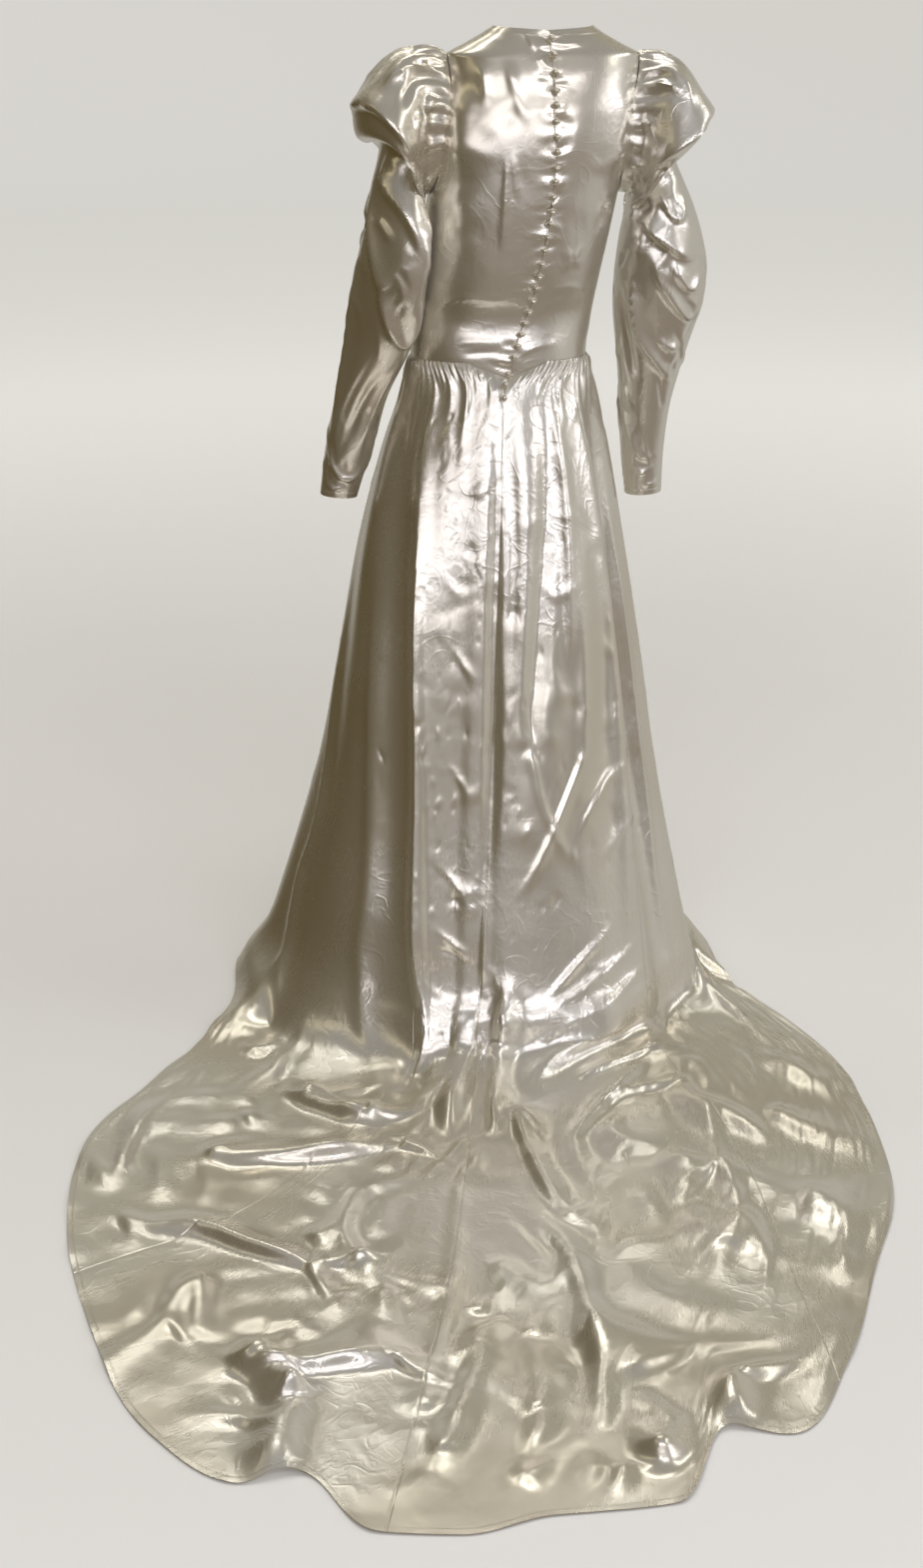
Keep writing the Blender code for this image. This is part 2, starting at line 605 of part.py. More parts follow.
def skirt_frame(angles, level):
    """The skirt's points with the direction out of it and the direction round it."""
    last = len(SEAM_BEARINGS["centre_back"]) - 1
    turn = skirt_points(angles + ANGLE_NUDGE, level) - skirt_points(angles - ANGLE_NUDGE, level)
    down = (skirt_points(angles, min(level + LEVEL_NUDGE, last))
            - skirt_points(angles, max(level - LEVEL_NUDGE, 0)))
    return skirt_points(angles, level), unit(np.cross(down, turn)), unit(turn)


def build_skirt():
    """Five panels from the waist seam to the hem; returns each one's outer points."""
    skins = {}
    for name, start, end, columns_across in SKIRT_PANELS:
        places = []
        outer = []
        inner = []
        for level in SKIRT_TOP_LEVELS + SKIRT_LEVELS:
            if level in SKIRT_TOP_LEVELS:
                angles = np.arange(start, end + 1) * WAIST_STEP
            else:
                angles = np.linspace(start, end, columns_across + 1) * WAIST_STEP
            points, normals, turn = skirt_frame(angles, level)
            points[0] += turn[0] * SEAM_GAP / 2
            points[-1] -= turn[-1] * SEAM_GAP / 2
            places.append(angles)
            outer.append(points)
            inner.append(points - normals * WALL)
        wall(name, places, outer, inner, False, False)
        skins[name] = outer
    return skins


def on_panel(rows, height, across):
    """The point and the outward direction at a height and a distance from the panel's first edge."""
    edge = np.array([row[0] for row in rows])
    beside = np.array([row[(len(row) - 1) // BACK_COLUMNS] for row in rows])
    z = height - SHOULDER_HEIGHT
    start = np.array([np.interp(z, edge[:, 2], edge[:, axis]) for axis in range(3)])
    side = np.array([np.interp(z, beside[:, 2], beside[:, axis]) for axis in range(3)])
    along = unit(side - start)
    k = min(max(int(np.searchsorted(edge[:, 2], z)), 1), len(edge) - 1)
    up = unit(edge[k] - edge[k - 1])
    out = unit(np.cross(up, along))
    if out[1] < 0:
        out = -out
    return start + along * across, out


def button_heights():
    """Heights of the bodice's buttons, closer together lower down."""
    heights = [FIRST_BUTTON_HEIGHT]
    gaps = BODICE_BUTTONS - 1
    for k in range(gaps):
        heights.append(heights[-1] - FIRST_SPACING - (LAST_SPACING - FIRST_SPACING) * k / (gaps - 1))
    return heights


def build_button(name, base, out):
    """A covered ball button with its flat foot at base."""
    side = unit(np.cross(out, (0.0, 0.0, 1.0)))
    up = np.cross(side, out)
    points = []
    for radius, rise in BUTTON_PROFILE:
        for n in range(BUTTON_SIDES):
            turn = 2 * math.pi * n / BUTTON_SIDES
            points.append(base + out * rise + radius * (math.cos(turn) * side + math.sin(turn) * up))
    points.append(base + out * BUTTON_TOP)
    faces = [tuple(range(BUTTON_SIDES))]
    for ring in range(len(BUTTON_PROFILE) - 1):
        for n in range(BUTTON_SIDES):
            a = ring * BUTTON_SIDES + n
            b = ring * BUTTON_SIDES + (n + 1) % BUTTON_SIDES
            faces.append((a, a + BUTTON_SIDES, b + BUTTON_SIDES, b))
    last = (len(BUTTON_PROFILE) - 1) * BUTTON_SIDES
    for n in range(BUTTON_SIDES):
        faces.append((last + n, len(points) - 1, last + (n + 1) % BUTTON_SIDES))
    add_object(name, points, faces)


def build_closure(rows, skirt_rows):
    """The strip of loops down the centre back, and the buttons over it and below the waist."""
    heights = button_heights()
    places = []
    outer = []
    inner = []
    middles = [(a + b) / 2 for a, b in zip(heights, heights[1:])]
    stations = sorted([(h, LOOP_REACH) for h in heights] + [(h, 0.0) for h in middles])
    for height, reach in stations:
        left, out = on_panel(rows, height, 0.0005)
        right, _ = on_panel(rows, height, LOOP_BAND + reach)
        row = np.stack((left, right))
        places.append(np.array((0.0, 1.0)))
        outer.append(row + out * (STACK_GAP + LOOP_THICKNESS))
        inner.append(row + out * STACK_GAP)
    wall("button_loops", places, outer, inner, False, True)
    lift = 2 * STACK_GAP + LOOP_THICKNESS
    for n, height in enumerate(heights):
        foot, out = on_panel(rows, height, 0.0)
        build_button(f"button_{n + 1:02d}", foot + out * lift, out)
    seam = np.array([row[0] for row in skirt_rows[::-1]])
    for n, height in enumerate(SKIRT_BUTTON_HEIGHTS):
        z = height - SHOULDER_HEIGHT
        foot = np.array([np.interp(z, seam[:, 2], seam[:, axis]) for axis in range(3)])
        down = seam[int(np.searchsorted(seam[:, 2], z)) - 1] - foot
        out = unit(np.cross(down, (-1.0, 0.0, 0.0)))
        build_button(f"button_{BODICE_BUTTONS + n + 1:02d}", foot + out * STACK_GAP, out)


def build():
    """The whole gown."""
    for old in list(bpy.data.objects):
        bpy.data.objects.remove(old)
    right_back = build_bodice()
    build_sleeve("sleeve_left", SLEEVE_LEFT, 1)
    build_sleeve("sleeve_right", SLEEVE_RIGHT, -1)
    skirt = build_skirt()
    build_closure(right_back, skirt["skirt_back_right"])


build()
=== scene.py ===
"""A long-sleeved satin gown with a train, dressed round its CAD solids.

Metres, +Z up, as in the frame: the front faces -Y, the train lies towards +Y and the wearer's left
is +X. Heights are above the floor. Angles go round the wearer in degrees: 0 at the left side, 90 at
the centre back, 180 at the right side and 270 at the centre front.
"""
import math

import bpy
import numpy as np
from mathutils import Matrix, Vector


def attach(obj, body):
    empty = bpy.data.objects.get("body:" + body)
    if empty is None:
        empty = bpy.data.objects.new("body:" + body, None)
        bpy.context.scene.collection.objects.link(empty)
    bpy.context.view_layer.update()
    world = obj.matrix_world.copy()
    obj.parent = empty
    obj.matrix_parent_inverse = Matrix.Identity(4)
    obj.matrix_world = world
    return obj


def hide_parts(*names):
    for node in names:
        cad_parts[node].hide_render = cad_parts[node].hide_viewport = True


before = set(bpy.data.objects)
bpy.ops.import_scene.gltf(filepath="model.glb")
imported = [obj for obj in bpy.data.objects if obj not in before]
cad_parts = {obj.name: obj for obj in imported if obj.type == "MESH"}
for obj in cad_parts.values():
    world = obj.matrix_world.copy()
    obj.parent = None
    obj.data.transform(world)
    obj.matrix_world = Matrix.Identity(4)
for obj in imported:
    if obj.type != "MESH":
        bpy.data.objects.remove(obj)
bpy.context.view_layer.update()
for carried in bpy.context.selected_objects:
    carried.select_set(False)


# Bodice.
# Three pieces of heavy ivory satin, cut close to the body and joined at the sides and shoulders.
# The two backs meet edge to edge under the buttons, which pull small puckers out of the cloth.

SHOULDER_HEIGHT = 1.50       # the origin above the floor
SEAM_GAP = 0.0003            # between pieces that are sewn together
CLOTH = 0.0009               # the satin's thickness

WAIST_HEIGHT = 1.068
WAIST_POINT = 0.022          # how far the seam dips at the centre back and front
WAIST_POINT_REACH = 24.0
UNDERARM_HEIGHT = 1.315
SHOULDER_TIP_HEIGHT = 1.512
ARMHOLE_MIDDLE = (UNDERARM_HEIGHT + SHOULDER_TIP_HEIGHT) / 2
ARMHOLE_HALF = (SHOULDER_TIP_HEIGHT - UNDERARM_HEIGHT) / 2
NECK_HEIGHT = 1.554
NECK_DIP_BACK = 0.005
NECK_DIP_FRONT = 0.078
ARMHOLE_BACK = 24.0          # degrees from the side to the armhole's edge
ARMHOLE_FRONT = 27.0
ANGLE_NUDGE = 0.1
HEIGHT_NUDGE = 0.001


def columns(names, rows):
    """One array for each named column of a table."""
    return dict(zip(names.split(), np.array(rows, float).T))


# The bodice as level sections. middle is the section's centre in X: the figure leans to its right.
TORSO = columns("height middle side back front", (
    (1.030, 0.064, 0.139, 0.094, 0.094),
    (1.070, 0.064, 0.139, 0.094, 0.096),
    (1.120, 0.059, 0.139, 0.095, 0.102),
    (1.180, 0.050, 0.141, 0.099, 0.111),
    (1.250, 0.038, 0.144, 0.104, 0.120),
    (1.310, 0.028, 0.146, 0.107, 0.121),
    (1.370, 0.017, 0.148, 0.107, 0.110),
    (1.430, 0.008, 0.149, 0.102, 0.094),
    (1.480, 0.002, 0.149, 0.089, 0.078),
    (1.512, 0.000, 0.147, 0.075, 0.062),
    (1.528, 0.000, 0.120, 0.067, 0.056),
    (1.543, 0.000, 0.092, 0.060, 0.052),
    (1.554, 0.000, 0.075, 0.055, 0.049)))
TORSO_SQUARENESS = 2.25

# The buttoned edge wanders off the middle of the back.
CENTRE_BACK = columns("height angle", (
    (1.040, 90.0),
    (1.090, 92.0),
    (1.180, 99.0),
    (1.280, 99.6),
    (1.370, 97.0),
    (1.450, 92.5),
    (1.554, 90.0)))


def row_slopes(values, steps):
    """Slopes of a curve through the values that doesn't overshoot them."""
    rise = np.diff(values, axis=0) / steps
    agree = rise[:-1] * rise[1:] > 0
    total = np.where(agree, rise[:-1] + rise[1:], 1.0)
    slopes = np.empty_like(values)
    slopes[1:-1] = np.where(agree, 2 * rise[:-1] * rise[1:] / total, 0.0)
    slopes[0] = rise[0]
    slopes[-1] = rise[-1]
    return slopes


def hermite(t, start, end, start_slope, end_slope):
    """A cubic from start to end, with its slopes per unit of t."""
    t2 = t * t
    t3 = t2 * t
    return ((2 * t3 - 3 * t2 + 1) * start + (t3 - 2 * t2 + t) * start_slope
            + (3 * t2 - 2 * t3) * end + (t3 - t2) * end_slope)


def curve(at, places, values):
    """The value at each place of a smooth curve through a table's column."""
    places = np.asarray(places, float)
    values = np.asarray(values, float)
    slopes = row_slopes(values, np.diff(places))
    at = np.clip(at, places[0], places[-1])
    i = np.clip(np.searchsorted(places, at, side="right") - 1, 0, len(places) - 2)
    step = places[i + 1] - places[i]
    return hermite((at - places[i]) / step, values[i], values[i + 1],
                   slopes[i] * step, slopes[i + 1] * step)


def ease(at, start, end):
    """0 up to start, 1 from end, and a soft step between."""
    t = np.clip((np.asarray(at, float) - start) / (end - start), 0.0, 1.0)
    return t * t * (3 - 2 * t)


def unit(vectors):
    """The vectors at length 1."""
    return vectors / np.maximum(np.linalg.norm(vectors, axis=-1, keepdims=True), 1e-12)


def torso(angle, height):
    """Points of the bodice's outer face."""
    middle, side, back, front = (curve(height, TORSO["height"], TORSO[name])
                                 for name in ("middle", "side", "back", "front"))
    c = np.cos(np.radians(angle))
    s = np.sin(np.radians(angle))
    power = 2 / TORSO_SQUARENESS
    x = middle + side * np.sign(c) * np.abs(c) ** power
    y = np.where(s > 0, back, front) * np.sign(s) * np.abs(s) ** power
    return np.stack(np.broadcast_arrays(x, y, height - SHOULDER_HEIGHT), axis=-1)


def torso_turn(angle, height):
    """The direction round the bodice."""
    return unit(torso(angle + ANGLE_NUDGE, height) - torso(angle - ANGLE_NUDGE, height))


def torso_normal(angle, height):
    """The direction out of the bodice."""
    rise = torso(angle, height + HEIGHT_NUDGE) - torso(angle, height - HEIGHT_NUDGE)
    return unit(np.cross(torso_turn(angle, height), rise))


def waist_height(angle):
    """The waist seam, with a shallow point at the centre back and front."""
    angle = np.asarray(angle, float) % 360
    off = np.minimum(abs(angle - 90), abs(angle - 270))
    return WAIST_HEIGHT - WAIST_POINT * np.clip(1 - off / WAIST_POINT_REACH, 0, 1)


def armhole_edge(height, widest):
    """Degrees from the side seam to the armhole's edge."""
    return widest * np.sqrt(np.clip(1 - ((height - ARMHOLE_MIDDLE) / ARMHOLE_HALF) ** 2, 0, 1))


def grid_normals(points, closed=False):
    """Unit directions across a grid of points, its columns crossed with its rows."""
    if closed:
        across = np.roll(points, -1, axis=1) - np.roll(points, 1, axis=1)
    else:
        across = np.gradient(points, axis=1)
    return unit(np.cross(across, np.gradient(points, axis=0)))


def along_line(points, line):
    """How far points are from a bent line, which way, and how far along it the nearest place is."""
    line = np.asarray(line, float)
    lengths = np.linalg.norm(np.diff(line, axis=0), axis=1)
    starts = np.concatenate(([0], np.cumsum(lengths)))
    best = np.full(len(points), 1e9)
    away = np.zeros((len(points), line.shape[1]))
    place = np.zeros(len(points))
    heading = np.zeros((len(points), line.shape[1]))
    for k, length in enumerate(lengths):
        step = (line[k + 1] - line[k]) / max(length, 1e-9)
        t = np.clip((points - line[k]) @ step, 0, length)
        off = points - line[k] - t[:, None] * step
        distance = np.linalg.norm(off, axis=1)
        nearer = distance < best
        best[nearer] = distance[nearer]
        away[nearer] = off[nearer]
        place[nearer] = (starts[k] + t[nearer]) / starts[-1]
        heading[nearer] = step
    return best, away, place, heading


def bent(line, per_step=6):
    """A line through a few points made smooth."""
    line = np.asarray(line, float)
    places = np.arange(len(line), dtype=float)
    if len(line) < 3:
        return line
    at = np.linspace(0, places[-1], per_step * (len(line) - 1) + 1)
    slopes = np.gradient(line, axis=0)
    i = np.minimum(at.astype(int), len(line) - 2)
    t = (at - i)[:, None]
    return hermite(t, line[i], line[i + 1], slopes[i], slopes[i + 1])


def taper(place, start, end):
    """The share of a crease's height along it; start and end are where it is whole."""
    rise = ease(place, 0.0, start) if start > 0 else 1.0
    fall = 1 - ease(place, end, 1.0) if end < 1 else 1.0
    return rise * fall


CREASE_REACH = 2.6           # widths to each side of its line that a crease is worked out for


def crease(points, normals, line, height, width, lean=0.0, sharp=2.0, steep=1.0, whole=(0.35, 0.65)):
    """Raises the cloth along a line, or sinks it.

    lean pushes the ridge over to the right of the line's heading. sharp below 2 gives it a sharper
    top. steep narrows its right side to this share of the width, and below 0 its left side.
    """
    line = bent(line)
    flat = points.reshape(-1, 3)
    reach = CREASE_REACH * width
    near = np.all((flat > line.min(axis=0) - reach) & (flat < line.max(axis=0) + reach), axis=1)
    if not near.any():
        return
    distance, away, place, heading = along_line(flat[near], line)
    out = normals.reshape(-1, 3)[near]
    sideways = unit(np.cross(heading, out))
    right = (away * sideways).sum(axis=1) * np.sign(steep)
    wide = width * np.where(right > 0, abs(steep), 1.0)
    amount = height * np.exp(-(distance / wide) ** sharp) * taper(place, *whole)
    flat[near] += amount[:, None] * (out + lean * sideways)


def travelled(points, axis):
    """How far each point of a grid lies along its column (0) or its row (1)."""
    steps = np.diff(points, axis=axis, prepend=points.take([0], axis))
    return np.cumsum(np.linalg.norm(steps, axis=2), axis=axis)


def from_side_edges(points):
    """How far each point of a grid lies from the nearer end of its row."""
    along = travelled(points, 1)
    return np.minimum(along, along[:, -1:] - along)


def cloth(name, points, edge_distance, end_distance, closed=False):
    """A grid of outer points as a sheet of satin with its own thickness and its measures in UV."""
    rows, count = points.shape[:2]
    loop = count if closed else count - 1
    across = np.arange(loop)
    beside = (across + 1) % count
    down = np.arange(rows - 1)[:, None] * count
    faces = np.stack((down + across, down + beside, down + count + beside, down + count + across), -1)
    faces = faces.reshape(-1, 4)
    mesh = bpy.data.meshes.new(name)
    mesh.from_pydata(points.reshape(-1, 3).tolist(), [], faces.tolist())
    if closed:
        points, edge_distance, end_distance = (np.concatenate((grid, grid[:, :1]), axis=1)
                                               for grid in (points, edge_distance, end_distance))
    widths, edges, ends = (np.stack((grid[:-1, :-1], grid[:-1, 1:], grid[1:, 1:], grid[1:, :-1]), -1)
                           for grid in (travelled(points, 1), edge_distance, end_distance))
    for layer, first in (("cloth", widths), ("edges", edges)):
        uv = mesh.uv_layers.new(name=layer)
        uv.data.foreach_set("uv", np.stack((first, ends), -1).ravel().astype(np.float32))
    mesh.update()
    made = bpy.data.objects.new(name, mesh)
    bpy.context.scene.collection.objects.link(made)
    made.select_set(True)
    bpy.context.view_layer.objects.active = made
    thick = made.modifiers.new("thickness", "SOLIDIFY")
    thick.thickness = CLOTH
    thick.offset = -1.0
    bpy.ops.object.modifier_apply(modifier=thick.name)
    bpy.ops.object.shade_smooth_by_angle(angle=math.radians(70))
    made.select_set(False)
    return made


class Socket:
    """A node's output that arithmetic adds Math nodes to."""

    def __init__(self, nodes, output):
        self.nodes = nodes
        self.output = output

    def math(self, operation, *others):
        return self.nodes.add("ShaderNodeMath", {"operation": operation},
                              dict(enumerate((self,) + others)))

    def __add__(self, other):
        return self.math("ADD", other)

    __radd__ = __add__

    def __sub__(self, other):
        return self.math("SUBTRACT", other)

    def __rsub__(self, other):
        return self.nodes.add("ShaderNodeMath", {"operation": "SUBTRACT"}, {0: other, 1: self})

    def __mul__(self, other):
        return self.math("MULTIPLY", other)

    __rmul__ = __mul__

    def __truediv__(self, other):
        return self.math("DIVIDE", other)

    def __abs__(self):
        return self.math("ABSOLUTE")


class Nodes:
    """The nodes of a material or of the surroundings."""

    def __init__(self, tree):
        self.tree = tree

    def add(self, kind, settings=None, inputs=None, output=0):
        node = self.tree.nodes.new(kind)
        for key, value in (settings or {}).items():
            setattr(node, key, value)
        for key, value in (inputs or {}).items():
            self.put(node.inputs[key], value)
        return Socket(self, node.outputs[output])

    def split(self, vector):
        """A vector's X, Y and Z."""
        parts = self.add("ShaderNodeSeparateXYZ", None, {0: vector})
        return [Socket(self, part) for part in parts.output.node.outputs]

    def put(self, place, value):
        if isinstance(value, Socket):
            self.tree.links.new(value.output, place)
        else:
            place.default_value = value

    def band(self, value, start, end):
        """0 up to start and 1 from end."""
        return self.add("ShaderNodeMapRange", {"interpolation_type": "SMOOTHSTEP"},
                        {"Value": value, "From Min": start, "From Max": end})

    def blend(self, share, colour, other):
        """One colour up to share 0 and the other at share 1."""
        return self.add("ShaderNodeMix", {"data_type": "RGBA"}, {0: share, 6: colour, 7: other}, 2)


def new_material(name):
    """A material, its nodes and its shader."""
    material = bpy.data.materials.new(name)
    material.use_nodes = True
    return material, Nodes(material.node_tree), material.node_tree.nodes["Principled BSDF"]


SATIN_LIGHT = (0.86, 0.835, 0.765, 1.0)
SATIN_DEEP = (0.80, 0.755, 0.650, 1.0)
THREAD_AND_SEAM_SHADE = (0.50, 0.43, 0.30, 1.0)
STITCHES_FROM_EDGE = 0.0072
STITCH_LENGTH = 0.0032
TURNED_EDGE = (0.0084, 0.0092)   # where the turned-in hem steps down to the single cloth
SEAM_EDGE = (0.0004, 0.0030)     # where the pull of a seam and its painted shade end
THREAD_RISE = 0.000003
DENT_RISE = 0.0007
MARK_RISE = 0.00018
TURNED_RISE = 0.0005
STITCH_DIP = 0.0004
SEAM_DIP = 0.0004


def satin(name, crumple=1.0):
    """Ivory satin: lengthwise float threads, crumples from storage, a stitched edge, and painted shade
    beside the seams.
    """
    material, nodes, shader = new_material(name)
    shader.inputs["Metallic"].default_value = 0.80
    measure = nodes.add("ShaderNodeUVMap", {"uv_map": "cloth"})
    sewn, hem, _ = nodes.split(nodes.add("ShaderNodeUVMap", {"uv_map": "edges"}))
    across, _, _ = nodes.split(measure)
    streaks = nodes.add("ShaderNodeMapping", None, {"Vector": measure, "Scale": (130.0, 7.0, 1.0)})
    slub = nodes.add("ShaderNodeTexNoise", None, {"Vector": streaks, "Scale": 1.0, "Detail": 2.0})
    place = nodes.add("ShaderNodeTexCoord", output="Object")
    dents = nodes.add("ShaderNodeTexNoise", None,
                      {"Vector": place, "Scale": 20.0, "Detail": 2.0, "Roughness": 0.5,
                       "Distortion": 0.8})
    wrinkles = nodes.add("ShaderNodeTexNoise", None,
                         {"Vector": place, "Scale": 13.0, "Detail": 1.0, "Distortion": 1.6})
    fine = nodes.add("ShaderNodeTexNoise", None,
                     {"Vector": place, "Scale": 34.0, "Detail": 1.0, "Distortion": 1.2})
    mark = 1 - nodes.band(abs(wrinkles - 0.5), 0.0, 0.06)
    mark = mark + 0.5 * (1 - nodes.band(abs(fine - 0.5), 0.0, 0.09))
    tone = nodes.add("ShaderNodeTexNoise", None, {"Vector": place, "Scale": 3.2, "Detail": 2.0})
    mark = mark * nodes.band(tone, 0.42, 0.60)
    stitch_row = 1 - nodes.band(abs(hem - STITCHES_FROM_EDGE), 0.0003, 0.0007)
    between = nodes.band(abs((across / STITCH_LENGTH).math("FRACT") - 0.5), 0.16, 0.24)
    stitch = stitch_row * (1 - between)
    turned = 1 - nodes.band(hem, *TURNED_EDGE)
    seam = 1 - nodes.band(sewn, *SEAM_EDGE)
    colour = nodes.blend(nodes.band(tone, 0.35, 0.65), SATIN_DEEP, SATIN_LIGHT)
    # Near a sewn edge the colour is drawn a little towards the thread colour: painted shade in the seam's
    # valley. The stitch row at the hem is real thread.
    colour = nodes.blend(stitch * 0.5 + seam * 0.12, colour, THREAD_AND_SEAM_SHADE)
    nodes.put(shader.inputs["Base Color"], colour)
    nodes.put(shader.inputs["Roughness"], 0.20 + slub * 0.03 + tone * 0.12)
    height = (slub * THREAD_RISE + dents * (DENT_RISE * crumple) + mark * (MARK_RISE * crumple)
              + turned * TURNED_RISE - stitch * STITCH_DIP - seam * SEAM_DIP)
    bump = nodes.add("ShaderNodeBump", None, {"Height": height, "Distance": 1.0})
    nodes.put(shader.inputs["Normal"], bump)
    return material


def stands_for(made, node):
    """Puts a finished piece in the place of a CAD node."""
    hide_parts(node)
    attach(made, "root")


# How a panel's grid is spread: rows below the armhole, beside it, and over the shoulder
ROWS_BELOW = 62
ROWS_BESIDE = 52
ROWS_OVER = 12
beside_turn = np.linspace(0, math.pi, ROWS_BESIDE)
BODICE_HEIGHTS = np.concatenate((
    np.linspace(WAIST_HEIGHT, UNDERARM_HEIGHT, ROWS_BELOW, endpoint=False),
    ARMHOLE_MIDDLE - ARMHOLE_HALF * np.cos(beside_turn),
    np.linspace(SHOULDER_TIP_HEIGHT, NECK_HEIGHT, ROWS_OVER + 1)[1:]))

# Folds of the two backs: lines as angle and height, then height and width in millimetres, and where
# they aren't crease's own, lean, sharp and steep
BACK_LEFT_FOLDS = (
    (((70, 1.390), (74, 1.335), (79, 1.215)), 3.92, 6, 0.3, 1.5, 0.6),
    (((74, 1.385), (78, 1.345), (82, 1.305)), 3.08, 5, 0.3, 1.5, 0.6),
    (((67, 1.512), (73, 1.462), (82, 1.414)), 2.52, 8),
    (((66, 1.546), (84, 1.516), (89, 1.486)), 3.64, 5, 0.2, 1.5, 0.6),
    (((58, 1.546), (76, 1.530), (86, 1.508)), -2.52, 5),
    (((48, 1.510), (52, 1.470), (57, 1.438)), 1.96, 9),
    (((20, 1.124), (40, 1.146), (57, 1.162), (81, 1.157), (92, 1.166)), 3.64, 6, 0.0, 1.5, 0.5),
    (((54, 1.096), (74, 1.098), (90, 1.096)), 3.64, 4.5, 0.0, 1.5, 0.6),
    (((62, 1.114), (78, 1.122), (88, 1.134)), 3.36, 4.5, 0.0, 1.5, 0.6),
    (((60, 1.080), (78, 1.084), (90, 1.084)), -2.24, 4),
    (((34, 1.420), (40, 1.396), (56, 1.376), (74, 1.366)), 1.2, 16, 0.0, 1.8, 0.5),
    (((30, 1.480), (34, 1.410), (40, 1.330)), 10, 34))
BACK_RIGHT_FOLDS = (
    (((93, 1.106), (109, 1.144), (126, 1.164)), 3.4, 6, 0.3, 1.6, 0.5),
    (((94, 1.078), (108, 1.090), (124, 1.092)), 2.6, 5, 0.0, 1.7, 0.6),
    (((97, 1.128), (104, 1.158), (110, 1.190)), -2.2, 6),
    (((96, 1.170), (112, 1.176), (132, 1.172), (154, 1.140)), 2.2, 6, 0.0, 1.5, 0.5),
    (((166, 1.392), (142, 1.372), (126, 1.358), (110, 1.368)), 1.8, 14, 0.0, 1.8, 0.6),
    (((168, 1.340), (150, 1.330), (132, 1.316)), -1.6, 12),
    (((109, 1.240), (120, 1.222), (131, 1.208)), 2.4, 6, 0.0, 1.8, 1.0),
    (((114, 1.202), (120, 1.222), (126, 1.244)), 2.2, 6, 0.0, 1.8, 1.0),
    (((119, 1.220), (121, 1.224)), -4.0, 6),
    (((103, 1.314), (99, 1.300), (96, 1.286)), 2.2, 5, 0.0, 1.8, 0.6),
    (((92, 1.520), (104, 1.530), (118, 1.526)), 1.8, 7, 0.0, 1.8, 0.6),
    (((148, 1.480), (144, 1.410), (138, 1.330)), 7, 32))


def bodice_grid(start_angle, end_angle, neck_dip, count):
    """Angles and heights of a bodice piece between two edges, each an angle at every height."""
    along = np.linspace(0, 1, count)[None, :]
    heights = BODICE_HEIGHTS[:, None]
    start = start_angle(heights)
    end = end_angle(heights)
    share = (heights - WAIST_HEIGHT) / (NECK_HEIGHT - WAIST_HEIGHT)
    waist_start = start_angle(WAIST_HEIGHT)
    bottom = waist_height(waist_start + along * (end_angle(WAIST_HEIGHT) - waist_start)) + SEAM_GAP
    top = NECK_HEIGHT - neck_dip(along)
    return start + along * (end - start), bottom + share * (top - bottom)


def centre_back(height):
    return curve(height, CENTRE_BACK["height"], CENTRE_BACK["angle"])


def back_dip(along):
    return NECK_DIP_BACK * (1 - along) ** 1.5


def front_dip(along):
    return NECK_DIP_FRONT * np.sin(np.pi * along) ** 0.8


def button_heights(count=25, first=1.536, first_gap=0.0235, last_gap=0.0162):
    """Heights of the bodice's buttons, closer together lower down."""
    gaps = np.linspace(first_gap, last_gap, count - 1)
    return first - np.concatenate(([0], np.cumsum(gaps)))


def bodice_piece(name, start_angle, end_angle, neck_dip, count, shape):
    """One cut piece of the bodice; shape adds its creases."""
    angle, height = bodice_grid(start_angle, end_angle, neck_dip, count)
    points = torso(angle, height)
    normals = torso_normal(angle, height)
    turn = torso_turn(angle, height)
    shape(points, normals, angle, height)
    inwards = np.sign(end_angle(WAIST_HEIGHT) - start_angle(WAIST_HEIGHT)) * SEAM_GAP / 2
    points[:, 0] += inwards * turn[:, 0]
    points[:, -1] -= inwards * turn[:, -1]
    edge = from_side_edges(points)
    end = (NECK_HEIGHT - neck_dip(np.linspace(0, 1, count)))[None, :] - height
    if inwards < 0:
        points, edge, end = points[:, ::-1], edge[:, ::-1], end[:, ::-1]
    made = cloth(name, points, edge, end)
    made.data.materials.append(satin(name, crumple=0.6))
    stands_for(made, name.replace("satin_", ""))
    return points


HOLLOW_HEIGHT = 1.132         # the hollow of the waist
HOLLOW_REACH = 0.038
HOLLOW_DEPTH = 0.009
HOLLOW_ANGLE = 92
BACK_PULLS = 16
FRONT_PULLS = 26


def back_shape(side, folds):
    """Folds of one back, the hollow of the waist, and puckers off the buttons."""
    random = np.random.default_rng(41 if side > 0 else 87)

    def shape(points, normals, angle, height):
        def at(turn, up):
            return torso(np.asarray(turn, float), np.asarray(up, float))

        hollow = np.exp(-((height - HOLLOW_HEIGHT) / HOLLOW_REACH) ** 2)
        hollow = hollow * ease(np.cos(np.radians(angle - HOLLOW_ANGLE)), 0.2, 0.8)
        points -= normals * (HOLLOW_DEPTH * hollow)[..., None]
        for line, high, wide, *profile in folds:
            turns, ups = np.array(line, float).T
            crease(points, normals, at(turns, ups), high / 1000, wide / 1000, *profile)
        for _ in range(BACK_PULLS):
            turn = 90 - side * random.uniform(-2, 75)
            up = random.uniform(1.10, 1.48)
            rise = random.uniform(-0.05, 0.05)
            line = at((turn, turn + 8, turn + 16), (up, up + rise / 2, up + rise))
            crease(points, normals, line, random.uniform(-0.0014, 0.0012), random.uniform(0.012, 0.026))
        for up in button_heights():
            for _ in range(2):
                length = random.uniform(3, 15)
                rise = random.uniform(-0.3, 0.5) * length * 0.0025
                start = centre_back(up) - side * 0.3
                up_here = up + random.uniform(-0.010, 0.010)
                line = at((start, start - side * length / 2, start - side * length),
                          (up_here, up_here + rise * 0.6, up_here + rise))
                crease(points, normals, line, random.uniform(0.0010, 0.0024) * random.choice((-1, 1)),
                       random.uniform(0.0028, 0.0050), whole=(0.0, 0.25))

    return shape


